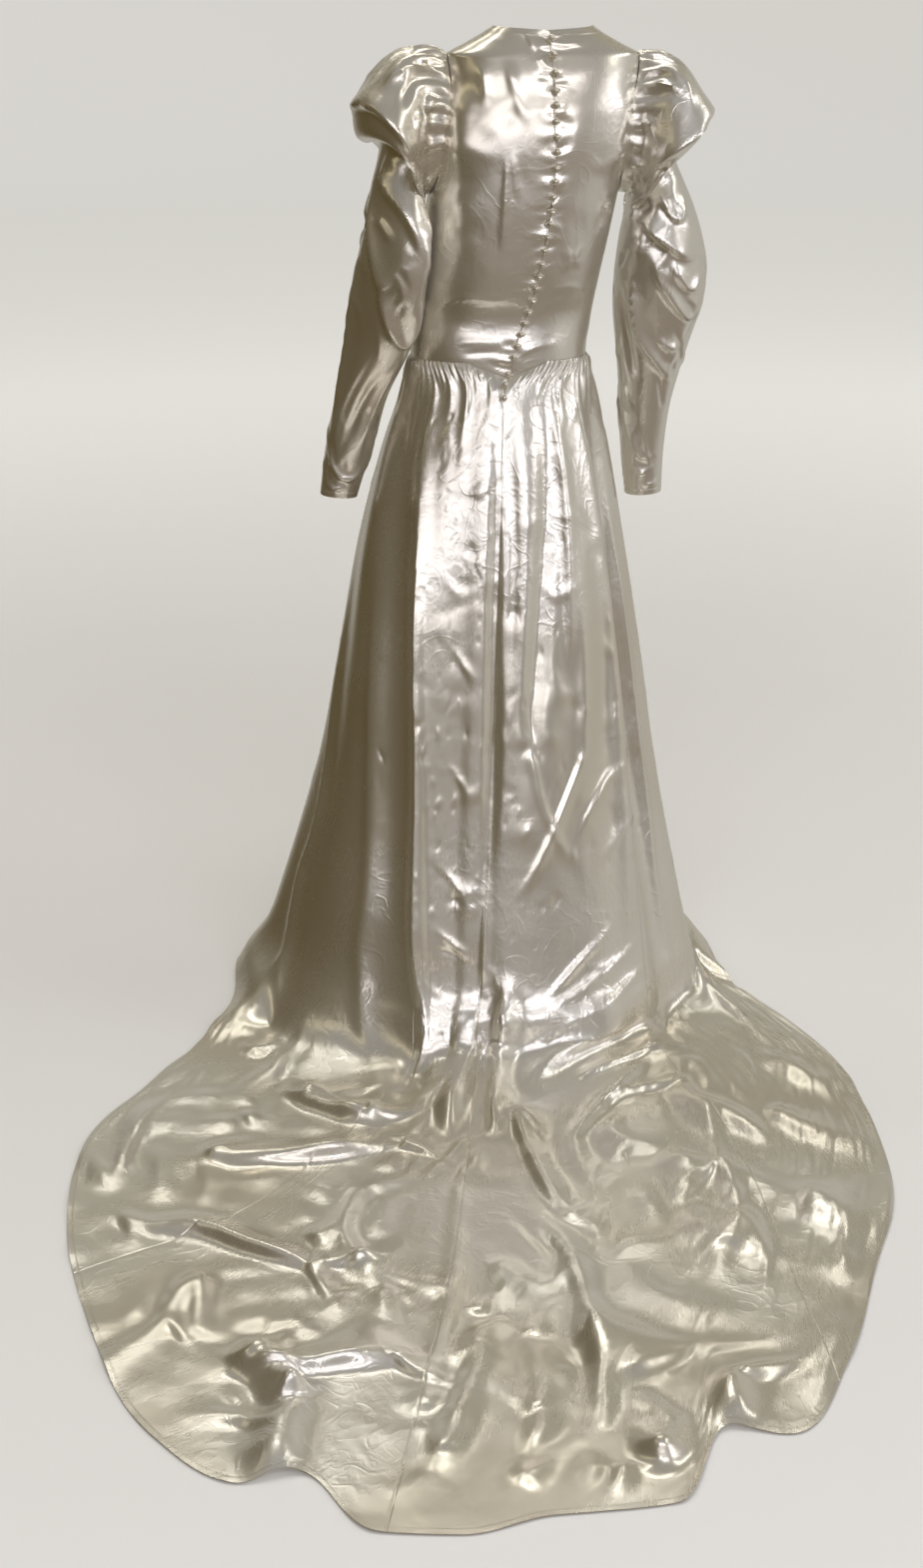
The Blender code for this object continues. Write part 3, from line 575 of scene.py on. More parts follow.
def front_shape(points, normals, angle, height):
    """Soft pulls across the front, from the waist and the armholes."""
    random = np.random.default_rng(12)
    for _ in range(FRONT_PULLS):
        turn = random.uniform(200, 340)
        up = random.uniform(1.09, 1.42)
        length = random.uniform(0.05, 0.14)
        slope = random.uniform(-9, 9)
        line = torso(np.array((turn, turn + slope / 2, turn + slope)),
                     np.array((up, up + length / 2, up + length)))
        crease(points, normals, line, random.uniform(-0.0016, 0.0018), random.uniform(0.006, 0.012))


bodice_piece("satin_bodice_back_left", centre_back,
             lambda height: armhole_edge(height, ARMHOLE_BACK), back_dip, 56,
             back_shape(1, BACK_LEFT_FOLDS))
back_right = bodice_piece("satin_bodice_back_right", centre_back,
                          lambda height: 180 - armhole_edge(height, ARMHOLE_BACK), back_dip, 50,
                          back_shape(-1, BACK_RIGHT_FOLDS))
bodice_piece("satin_bodice_front", lambda height: 180 + armhole_edge(height, ARMHOLE_FRONT),
             lambda height: 360 - armhole_edge(height, ARMHOLE_FRONT), front_dip, 92,
             front_shape)


# Sleeves.
# Each sleeve is one piece, gathered into the armhole, that puffs and falls over itself in a pouch
# above the elbow, and runs in drags round the arm to a narrow turned wrist.

# Rings: out and in are the ring's ends away from and next to the body, back and front are its
# reaches in Y, lift raises it between the two ends and wrap draws its back towards the body.
SLEEVE_COLUMNS = "out out_height in in_height back front lift wrap"
SLEEVE_LEFT = columns(SLEEVE_COLUMNS, (
    (0.178, 1.524, 0.183, 1.309, 0.060, -0.056, 0.000, 0.000),
    (0.212, 1.520, 0.186, 1.303, 0.080, -0.074, 0.008, 0.000),
    (0.248, 1.494, 0.188, 1.297, 0.093, -0.084, 0.014, 0.004),
    (0.274, 1.460, 0.189, 1.291, 0.101, -0.090, 0.020, 0.008),
    (0.287, 1.425, 0.190, 1.285, 0.106, -0.092, 0.026, 0.012),
    (0.282, 1.394, 0.190, 1.279, 0.103, -0.088, 0.030, 0.014),
    (0.266, 1.384, 0.190, 1.274, 0.091, -0.076, 0.032, 0.014),
    (0.249, 1.390, 0.190, 1.270, 0.078, -0.062, 0.030, 0.014),
    (0.252, 1.362, 0.190, 1.265, 0.080, -0.060, 0.022, 0.018),
    (0.261, 1.330, 0.190, 1.255, 0.092, -0.060, 0.012, 0.022),
    (0.270, 1.290, 0.191, 1.235, 0.107, -0.058, 0.004, 0.026),
    (0.279, 1.245, 0.194, 1.205, 0.116, -0.054, 0.000, 0.028),
    (0.288, 1.195, 0.199, 1.162, 0.112, -0.050, 0.000, 0.026),
    (0.297, 1.145, 0.204, 1.118, 0.096, -0.048, 0.000, 0.022),
    (0.307, 1.085, 0.215, 1.070, 0.070, -0.050, 0.000, 0.012),
    (0.321, 1.010, 0.241, 1.004, 0.048, -0.054, 0.000, 0.000),
    (0.335, 0.945, 0.258, 0.942, 0.033, -0.056, 0.000, 0.000),
    (0.343, 0.893, 0.275, 0.890, 0.022, -0.055, 0.000, 0.000),
    (0.349, 0.848, 0.290, 0.843, 0.014, -0.046, 0.000, 0.000)))
SLEEVE_RIGHT = columns(SLEEVE_COLUMNS, (
    (-0.172, 1.516, -0.134, 1.309, 0.060, -0.056, 0.000, 0.000),
    (-0.202, 1.509, -0.136, 1.304, 0.078, -0.072, 0.006, 0.000),
    (-0.226, 1.487, -0.137, 1.299, 0.089, -0.082, 0.010, 0.000),
    (-0.240, 1.455, -0.137, 1.294, 0.095, -0.087, 0.012, 0.000),
    (-0.246, 1.420, -0.137, 1.289, 0.098, -0.089, 0.016, 0.000),
    (-0.241, 1.392, -0.136, 1.284, 0.093, -0.085, 0.018, 0.000),
    (-0.225, 1.376, -0.135, 1.280, 0.080, -0.074, 0.020, 0.000),
    (-0.208, 1.383, -0.134, 1.276, 0.066, -0.062, 0.018, 0.000),
    (-0.208, 1.360, -0.132, 1.271, 0.063, -0.060, 0.012, 0.000),
    (-0.219, 1.333, -0.130, 1.261, 0.071, -0.062, 0.006, 0.000),
    (-0.236, 1.295, -0.126, 1.244, 0.079, -0.062, 0.000, 0.000),
    (-0.252, 1.247, -0.121, 1.215, 0.083, -0.060, 0.000, 0.000),
    (-0.262, 1.196, -0.117, 1.175, 0.081, -0.058, 0.000, 0.000),
    (-0.258, 1.143, -0.118, 1.130, 0.072, -0.056, 0.000, 0.000),
    (-0.243, 1.090, -0.124, 1.083, 0.059, -0.055, 0.000, 0.000),
    (-0.228, 1.035, -0.131, 1.030, 0.047, -0.055, 0.000, 0.000),
    (-0.215, 0.975, -0.136, 0.972, 0.036, -0.055, 0.000, 0.000),
    (-0.209, 0.905, -0.141, 0.902, 0.025, -0.053, 0.000, 0.000),
    (-0.208, 0.837, -0.149, 0.833, 0.016, -0.044, 0.000, 0.000)))
SLEEVE_SQUARENESS = 2.2
SLEEVE_LAP = 1.07            # the sleeve's edge laps over the armhole's by this ratio
SLEEVE_START = 0.0012        # and stands this far off the bodice
SLEEVE_GATHERS = 16
SLEEVE_GATHER_REACH = 120.0
SLEEVE_GATHER_FADE = 20.0
SLEEVE_GATHER_DEPTH = columns("level depth", (
    (0.00, 0.0000),
    (0.45, 0.0034),
    (1.00, 0.0030),
    (2.20, 0.0000)))
SLEEVE_ROWS = 198
SLEEVE_AROUND = 104


def loft(levels, rings):
    """A grid of points at the levels between rings of points, smooth in plan."""
    slopes = row_slopes(rings, 1.0)
    slopes[1:-1, :, :2] = (rings[2:, :, :2] - rings[:-2, :, :2]) / 2
    levels = np.atleast_1d(levels)
    i = np.clip(levels.astype(int), 0, len(rings) - 2)
    return hermite((levels - i)[:, None, None], rings[i], rings[i + 1], slopes[i], slopes[i + 1])


def sleeve_rings(table, side, angles):
    """The rings of one sleeve; the first follows the armhole."""
    c = np.cos(np.radians(angles))
    s = np.sin(np.radians(angles))
    widest = np.where(s > 0, ARMHOLE_BACK, ARMHOLE_FRONT) * s * SLEEVE_LAP
    round_angle = widest if side > 0 else 180 - widest
    height = ARMHOLE_MIDDLE + ARMHOLE_HALF * c * (1 + SLEEVE_LAP) / 2
    rings = [torso(round_angle, height) + SLEEVE_START * torso_normal(round_angle, height)]
    power = 2 / SLEEVE_SQUARENESS
    across = np.sign(c) * np.abs(c) ** power
    depth = np.sign(s) * np.abs(s) ** power
    for k in range(len(table["out"])):
        x = ((table["out"][k] + table["in"][k]) / 2
             + (table["out"][k] - table["in"][k]) / 2 * across
             - side * table["wrap"][k] * np.clip(s, 0, 1))
        z = ((table["out_height"][k] + table["in_height"][k]) / 2
             + (table["out_height"][k] - table["in_height"][k]) / 2 * across
             + table["lift"][k] * s ** 2 - SHOULDER_HEIGHT)
        y = ((table["back"][k] + table["front"][k]) / 2
             + (table["back"][k] - table["front"][k]) / 2 * depth)
        rings.append(np.stack((x, y, z), axis=-1))
    return np.stack(rings)


def even_levels(points, levels, count):
    """Levels that divide a grid's length evenly, from the mean of its columns."""
    steps = np.linalg.norm(np.diff(points, axis=0), axis=2).mean(axis=1)
    length = np.concatenate(([0], np.cumsum(steps)))
    return np.interp(np.linspace(0, length[-1], count), length, levels)


# Gathers off the armhole, then short crumples: the levels they start in, how many, the longest in
# levels, height and width in mm, and how far they turn round the arm at most
CRUMPLED = (
    (0.20, 0.7, 50, 3.2, 4.2, 4.2, 10),
    (1.4, 4.0, 16, 1.4, 2.6, 5.5, 30),
    (8.2, 13.0, 50, 1.5, 3.6, 7.0, 40),
    (12.5, 18.3, 60, 1.4, 2.6, 5.2, 50))


def build_sleeve(name, table, side, folds, seed):
    """One sleeve with its gathered head, pouch and drags."""
    angles = np.linspace(-180, 180, SLEEVE_AROUND, endpoint=False)
    rings = sleeve_rings(table, side, angles)
    fine = np.linspace(0, len(table["out"]), 600)
    levels = even_levels(loft(fine, rings), fine, SLEEVE_ROWS)
    points = loft(levels, rings)
    middle = points.mean(axis=1, keepdims=True)
    covered = ease(SLEEVE_GATHER_REACH - abs(angles), 0, SLEEVE_GATHER_FADE)
    random = np.random.default_rng(seed)
    wander = np.interp(angles, np.linspace(-180, 180, 13), random.uniform(-0.5, 0.5, 13))
    wave = np.cos(np.radians(angles) * 180 / SLEEVE_GATHER_REACH * SLEEVE_GATHERS + wander)
    depth = curve(levels, SLEEVE_GATHER_DEPTH["level"], SLEEVE_GATHER_DEPTH["depth"])
    points += unit(points - middle) * (depth[:, None] * wave * covered)[..., None]
    base = points.copy()

    def at(turn, level):
        """A place on the sleeve's grid."""
        row = np.interp(level, levels, np.arange(SLEEVE_ROWS))
        column = (np.asarray(turn, float) + 180) / 360 * SLEEVE_AROUND
        i, j = int(row), int(column) % SLEEVE_AROUND
        return base[i, j] + (base[i, (j + 1) % SLEEVE_AROUND] - base[i, j]) * (column % 1)

    normals = grid_normals(points, closed=True) * -side
    for line, high, wide, *profile in folds:
        line = [at(turn, level) for turn, level in line]
        crease(points, normals, line, high / 1000, wide / 1000, *profile)
    for from_level, to_level, count, longest, high, wide, most_twist in CRUMPLED:
        for _ in range(count):
            turn = random.uniform(-170, 170)
            level = random.uniform(from_level, to_level)
            length = random.uniform(0.3, 1.0) * longest
            twist = random.uniform(-0.4, 1.0) * most_twist * side
            line = [at(turn + twist * t, min(level + length * t, 18.9)) for t in (0, 0.5, 1)]
            crease(points, normals, line, random.uniform(-1, 1.2) * high / 1000,
                   random.uniform(0.7, 1.3) * wide / 1000, lean=random.uniform(-0.4, 0.4))
    if side > 0:
        points = points[:, ::-1]
    length = travelled(points, 0)
    made = cloth(name, points, length, length[-1] - length, closed=True)
    made.data.materials.append(satin(name, crumple=0.7))
    stands_for(made, name.replace("satin_", ""))


# Folds of each sleeve: lines as angle and level, then values as for the backs. They start with the
# pouch's edge and the hollow under it.
LEFT_FOLDS = (
    (((-40, 5.0), (6, 4.5), (30, 4.3), (55, 4.2), (84, 4.0), (105, 3.6), (125, 3.0)),
     13, 22, 0.6, 1.7, 0.35),
    (((-30, 7.4), (15, 7.0), (54, 7.2), (95, 7.4), (130, 7.6)), -9, 18),
    (((15, 7.8), (27, 9.8), (72, 10.6), (92, 11.3), (111, 12.2)), 12, 24, 0.5, 1.6, 0.30),
    (((117, 9.0), (114, 11.0), (108, 13.2)), 7, 12, 0.0, 1.7, -0.5),
    (((0, 10.2), (6, 11.1), (30, 12.5), (48, 13.1), (72, 12.3)), 9, 13, 0.4, 1.7, 0.5),
    (((44, 12.2), (48, 13.2), (75, 14.2), (111, 14.6), (122, 13.8), (112, 12.6)), 9, 11, 0.4, 1.7, 0.5),
    (((-12, 11.4), (-4, 13.6), (12, 15.6), (20, 17.4)), 7, 13, 0.0, 1.7, 0.5),
    (((62, 14.8), (46, 16.2), (44, 17.6)), 5, 8, 0.0, 1.7, -0.6),
    (((96, 15.2), (84, 16.4), (80, 17.4)), -5, 9),
    (((128, 14.8), (118, 16.2), (104, 17.6)), 5, 8, 0.0, 1.7, 0.6),
    (((20, 17.2), (45, 17.8), (84, 18.3), (117, 18.2), (140, 17.6)), 4.5, 5.5, 0.4, 1.7, 0.6),
    (((30, 18.4), (66, 18.72), (100, 18.6)), 3, 4.5, 0.4, 1.7, 0.6),
    (((60, 0.7), (93, 1.6), (102, 1.4), (118, 0.4)), 6, 7, 0.3, 1.7, 0.6),
    (((70, 0.5), (86, 2.0), (100, 2.8)), 6, 7, 0.0, 1.7, 0.6),
    (((50, 0.5), (58, 2.0), (74, 3.4)), -6, 8),
    (((30, 0.5), (34, 2.2), (48, 3.6)), 7, 9, 0.0, 1.7, -0.5),
    (((10, 0.5), (8, 2.4), (14, 4.0)), -6, 10),
    (((-20, 0.5), (-15, 2.8), (-5, 4.6)), 6, 12, 0.0, 1.7, 0.5),
    (((-60, 9.0), (-85, 11.0), (-100, 13.4)), 8, 14, 0.4, 1.7, 0.5),
    (((-40, 12.6), (-70, 14.4), (-100, 16.0)), -6, 12),
    (((-30, 15.6), (-60, 17.2), (-110, 17.8)), 5, 8, 0.0, 1.7, 0.5))
RIGHT_FOLDS = (
    (((130, 2.6), (112, 3.4), (96, 4.1), (70, 4.5), (45, 4.3), (10, 4.6), (-30, 5.0)),
     18.2, 22, 0.6, 1.5, 0.35),
    (((130, 7.4), (95, 7.2), (50, 7.2), (10, 7.2)), -12.6, 17),
    (((150, 9.0), (122, 9.5), (100, 9.7)), -9.8, 14),
    (((128, 9.9), (112, 10.8), (90, 11.7), (72, 12.3), (50, 12.5)), 15.4, 20, 0.6, 1.5, 0.30),
    (((94, 8.8), (87, 9.8), (82, 10.8), (70, 11.0), (42, 10.4)), 9.8, 9, 0.4, 1.5, 0.5),
    (((92, 12.2), (81, 12.9), (63, 13.4), (40, 12.9)), 8.4, 9, 0.4, 1.5, 0.5),
    (((112, 12.0), (102, 12.9), (75, 14.0), (54, 14.3), (44, 13.4)), 9.8, 9, 0.4, 1.5, 0.5),
    (((146, 12.2), (135, 13.5), (117, 14.9), (66, 16.1), (40, 16.0)), 11.2, 9, 0.4, 1.5, 0.5),
    (((162, 12.8), (148, 14.8), (124, 16.4)), -8.4, 9),
    (((96, 14.8), (78, 15.2), (52, 15.2)), 7, 8, 0.3, 1.5, 0.5),
    (((166, 16.0), (156, 17.0), (129, 17.7), (102, 18.1), (36, 18.0)), 5, 6, 0.4, 1.7, 0.5),
    (((144, 18.0), (108, 18.45), (66, 18.3)), 4, 5, 0.4, 1.7, 0.5),
    (((102, 18.78), (78, 18.80), (52, 18.7)), 3, 4, 0.3, 1.7, 0.6),
    (((78, 0.4), (96, 1.8), (104, 3.0)), 7, 8, 0.0, 1.7, 0.5),
    (((30, 0.5), (45, 2.4), (60, 4.0)), 7, 10, 0.0, 1.7, -0.5),
    (((-24, 0.6), (-18, 2.6), (-8, 4.4)), 6, 12, 0.0, 1.7, 0.5),
    (((-60, 9.0), (-85, 11.4), (-96, 13.8)), 8, 13, 0.4, 1.7, -0.5),
    (((-40, 12.4), (-70, 14.6), (-96, 16.2)), -6, 11),
    (((-30, 15.8), (-60, 17.3), (-104, 17.9)), 5, 8, 0.0, 1.7, -0.5))
build_sleeve("satin_sleeve_left", SLEEVE_LEFT, 1, LEFT_FOLDS, 5)
build_sleeve("satin_sleeve_right", SLEEVE_RIGHT, -1, RIGHT_FOLDS, 14)


# Skirt and train.
# Five flared panels are gathered to the waist seam and cut longer and longer to the back, where
# they lie on the floor as a round train with a narrow machine-stitched hem.

SKIRT_AXIS_X = 0.070
SKIRT = columns("height left right back front", (
    (1.026, 0.146, 0.158, 0.112, 0.104),
    (0.950, 0.172, 0.172, 0.138, 0.122),
    (0.780, 0.217, 0.201, 0.184, 0.150),
    (0.580, 0.251, 0.233, 0.228, 0.178),
    (0.400, 0.283, 0.259, 0.270, 0.205),
    (0.220, 0.334, 0.295, 0.316, 0.240),
    (0.085, 0.380, 0.328, 0.358, 0.285)))

# Where the skirt meets the floor and how far its hem reaches, from the skirt's axis
TRAIN = columns("bearing floor hem", (
    (-90.0, 0.330, 0.350),
    (-45.0, 0.355, 0.372),
    (-12.0, 0.400, 0.425),
    (0.0, 0.415, 0.445),
    (13.0, 0.430, 0.475),
    (24.0, 0.445, 0.565),
    (31.0, 0.460, 0.700),
    (36.0, 0.465, 0.840),
    (45.0, 0.470, 1.005),
    (55.0, 0.470, 1.180),
    (64.0, 0.465, 1.355),
    (69.0, 0.460, 1.408),
    (72.0, 0.455, 1.375),
    (76.0, 0.450, 1.462),
    (80.0, 0.445, 1.460),
    (84.0, 0.440, 1.428),
    (90.0, 0.430, 1.420),
    (93.5, 0.425, 1.300),
    (97.0, 0.420, 1.330),
    (102.0, 0.415, 1.235),
    (110.0, 0.405, 1.065),
    (118.0, 0.400, 0.950),
    (129.0, 0.390, 0.770),
    (137.0, 0.385, 0.675),
    (147.0, 0.372, 0.540),
    (158.0, 0.360, 0.440),
    (172.0, 0.352, 0.390),
    (225.0, 0.340, 0.358),
    (270.0, 0.330, 0.350)))
HANGING_FLOOR_HEIGHTS = (0.050, 0.030, 0.010)   # the last three rings where the hem only hangs
LYING_FLOOR_HEIGHTS = (0.007, 0.004, 0.003)     # and where the cloth lies on the floor
LYING_STARTS = 0.03          # metres of cloth past the floor line
LYING_FULLY = 0.14
FOLDS_TURN_UP = (7.2, 8.6)   # levels between which folds turn from out to up where the cloth lies
LAST_LEVEL = 10

WAIST_STEP = 1.875
QUARTER = 48
SEAM_STEPS = (-18, 18, QUARTER, 78, 114)
SEAM_BEARINGS = columns("left_front left_back centre_back right_back right_front", (
    (-34, 34, 90.0, 146, 214),
    (-34, 36, 88.5, 145, 214),
    (-34, 38, 87.0, 143, 214),
    (-33, 44, 84.0, 141, 213),
    (-32, 50, 81.5, 138, 212),
    (-31, 55, 80.0, 135, 211),
    (-30, 59, 79.0, 131, 210),
    (-29, 62, 78.0, 127, 209),
    (-28, 63, 78.0, 123, 208),
    (-27, 58, 78.0, 111, 207),
    (-26, 51, 76.5, 101, 206)))

# Large folds that run down the skirt: the waist angle, the half width in degrees, and the depth at
# the hip, at the knee, where the skirt meets the floor and at the hem. Plus is out, minus is in.
FOLDS = columns("angle width hip knee floor hem", (
    (34, 7, 0.004, 0.006, 0.008, 0.010),
    (21, 7, -0.003, -0.004, -0.004, 0.000),
    (8, 7, 0.002, 0.003, 0.006, 0.012),
    (-7, 7, -0.003, -0.005, -0.006, -0.006),
    (-21, 7, 0.008, 0.015, 0.018, 0.016),
    (50, 6, 0.001, 0.000, 0.000, 0.012),
    (66, 8, -0.001, -0.002, -0.002, 0.000),
    (79, 6, 0.001, 0.001, 0.001, 0.008),
    (90, 5, -0.001, -0.002, -0.004, 0.000),
    (102, 6, 0.001, 0.001, 0.006, 0.010),
    (122, 7, -0.002, -0.002, -0.002, 0.000),
    (134, 6, 0.001, 0.002, 0.003, 0.010),
    (146, 5, 0.002, 0.005, 0.009, 0.012),
    (158, 7, -0.006, -0.014, -0.018, 0.000),
    (172, 7, 0.006, 0.013, 0.018, 0.010),
    (187, 7, -0.007, -0.014, -0.016, 0.000),
    (203, 8, 0.008, 0.015, 0.020, 0.018),
    (220, 8, -0.007, -0.014, -0.018, -0.016),
    (238, 8, 0.007, 0.014, 0.018, 0.016),
    (254, 7, -0.005, -0.011, -0.014, -0.012),
    (270, 8, 0.005, 0.010, 0.014, 0.014),
    (287, 7, -0.006, -0.013, -0.016, -0.014),
    (303, 8, 0.008, 0.015, 0.020, 0.020),
    (320, 7, -0.007, -0.013, -0.016, -0.014)))
FOLD_LEVELS = (0.6, 2.0, 4.5, 8.0, 10.0)

# The panels: first and last step of the waist, columns, rows, and the flat cut with its area
PANELS = (
    ("skirt_side_left", -18, 18, 132, 280, (1.05, 1.62), 0.72),
    ("skirt_back_left", 18, QUARTER, 92, 380, (0.56, 2.12), 0.52),
    ("skirt_back_right", QUARTER, 78, 112, 380, (0.62, 2.12), 0.78),
    ("skirt_side_right", 78, 114, 132, 280, (1.15, 1.62), 0.62),
    ("skirt_front", 114, 174, 126, 150, (0.95, 1.08), 0.58))
FINE_ROWS = 560
BACK_COLUMNS = slice(150, 300)   # the columns over the back, which set how far apart the rows are

# Folds of the hanging skirt: lines as waist angle and level, then values as for the backs
HANGING_FOLDS = (
    (((30, 0.9), (36, 2.4), (38.5, 3.6), (38, 4.9), (36, 6.2), (39, 7.4), (44, 8.3)),
     30, 40, 0.3, 1.3, 0.28),
    (((18, 1.6), (25, 3.2), (27, 4.8), (26, 6.2), (30, 7.6)), -9, 30),
    (((12, 2.6), (14, 4.2), (16, 5.7), (15, 6.5), (18, 7.4), (33, 8.2)), 9, 24, 0.0, 1.6, 0.6),
    (((-14, 3.0), (-9, 4.6), (-6, 5.5), (-8, 6.1), (-6, 7.1), (4, 7.9)), 11, 24, 0.0, 1.6, 0.6),
    (((81, 0.5), (82, 1.4), (87, 2.4), (89, 3.6), (91, 4.8), (91, 6.0)), -8, 12),
    (((91, 5.4), (90, 6.2), (92, 7.4), (89, 8.3)), 7, 6, 0.0, 1.6, 1.0),
    (((93, 0.5), (94, 1.8), (98, 3.0), (97, 4.2)), -6, 12),
    (((118, 0.4), (120, 1.2), (116, 2.7), (109, 3.9), (106, 5.0)), -7, 15),
    (((130, 0.4), (128, 1.2), (127, 2.6), (124, 4.0)), 7, 13, 0.0, 2.0, 0.6),
    (((146, 0.5), (147, 2.6), (145, 3.7), (143, 5.1), (141, 6.6), (139, 7.6)), 11, 24, 0.0, 1.8, -0.6),
    (((158, 1.0), (156, 3.2), (154, 5.0), (152, 6.8)), -10, 20),
    (((164, 2.0), (163, 4.9), (162, 5.9), (163, 6.8), (164, 8.0)), 12, 18, 0.0, 1.8, -0.6),
    (((37, 5.35), (60, 5.6), (84, 5.9)), 4, 11, 0.0, 2.0, 0.5),
    (((42, 6.0), (62, 6.2), (85, 6.4)), 4, 10, 0.0, 2.0, 0.5),
    (((132, 4.4), (112, 5.4), (101, 5.8)), 4, 10, 0.0, 2.0, 0.5),
    (((150, 6.3), (128, 6.7), (112, 7.0)), 5, 12, 0.0, 2.0, 0.5),
    (((104, 8.1), (118, 7.85), (132, 7.5), (147, 7.2)), 24, 46, 0.0, 1.7, 0.35),
    (((112, 8.5), (126, 8.3), (144, 8.1)), 12, 20, 0.0, 1.7, 0.5),
    (((101, 6.4), (101, 7.0), (99, 7.6), (97, 8.4)), 26, 20, 0.2, 1.8, 0.5),
    (((88, 6.7), (87, 7.2), (84, 7.8), (80, 8.4)), 26, 44, 0.2, 1.6, -0.3),
    (((52, 7.2), (60, 7.5), (68, 7.4)), 6, 7, 0.0, 1.7, 0.6),
    (((58, 7.7), (68, 7.8), (78, 7.5)), 5, 6, 0.0, 1.7, 0.6),
    (((38, 7.6), (42, 8.2)), -14, 24),
    (((127, 2.3), (131, 3.05), (129, 4.3), (124, 5.2)), 5, 26, 0.0, 1.8, 0.6),
    (((116, 2.4), (112, 3.4), (113, 4.4)), -4, 22),
    (((150, 2.2), (146, 3.2), (139, 4.2), (130, 5.2)), -5, 22),
    (((165, 4.5), (150, 4.7), (135, 4.9), (122, 5.4)), 4, 12, 0.0, 1.8, 0.5),
    (((163, 5.5), (146, 5.3), (130, 5.6)), 3.5, 10, 0.0, 1.8, -0.5),
    (((104, 3.0), (118, 3.3), (134, 3.2)), 2.2, 9),
    (((137, 6.1), (126, 6.4), (113, 6.9)), 4, 9, 0.0, 1.8, 0.5),
    (((148, 6.7), (134, 6.95), (120, 7.2)), 4.5, 10, 0.0, 1.8, 0.5),
    (((128, 7.0), (116, 7.3), (108, 7.7)), 4, 9, 0.0, 1.8, 0.5),
    (((105, 4.2), (112, 5.0), (124, 5.6)), 2.6, 8),
    (((43, 3.0), (56, 3.2), (67, 3.3)), 2.4, 8),
    (((50, 3.6), (64, 3.75), (80, 3.95)), 2.6, 8, 0.0, 1.8, 0.6),
    (((46, 4.5), (62, 4.7), (78, 4.9)), 2.4, 7, 0.0, 1.8, 0.6),
    (((202, 1.0), (205, 4.0), (204, 7.5)), 10, 24, 0.0, 1.6, 0.5),
    (((222, 1.4), (226, 4.0), (230, 7.4)), -12, 22),
    (((250, 1.0), (247, 3.6), (252, 7.2)), 12, 24, 0.0, 1.6, -0.5),
    (((268, 0.8), (272, 4.4), (266, 7.4)), -9, 20),
    (((286, 1.0), (290, 3.8), (284, 7.4)), 12, 22, 0.0, 1.6, 0.5),
    (((304, 1.2), (299, 4.2), (306, 7.2)), -10, 22),
    (((322, 0.9), (326, 3.2), (321, 6.8)), 11, 22, 0.0, 1.6, -0.5))

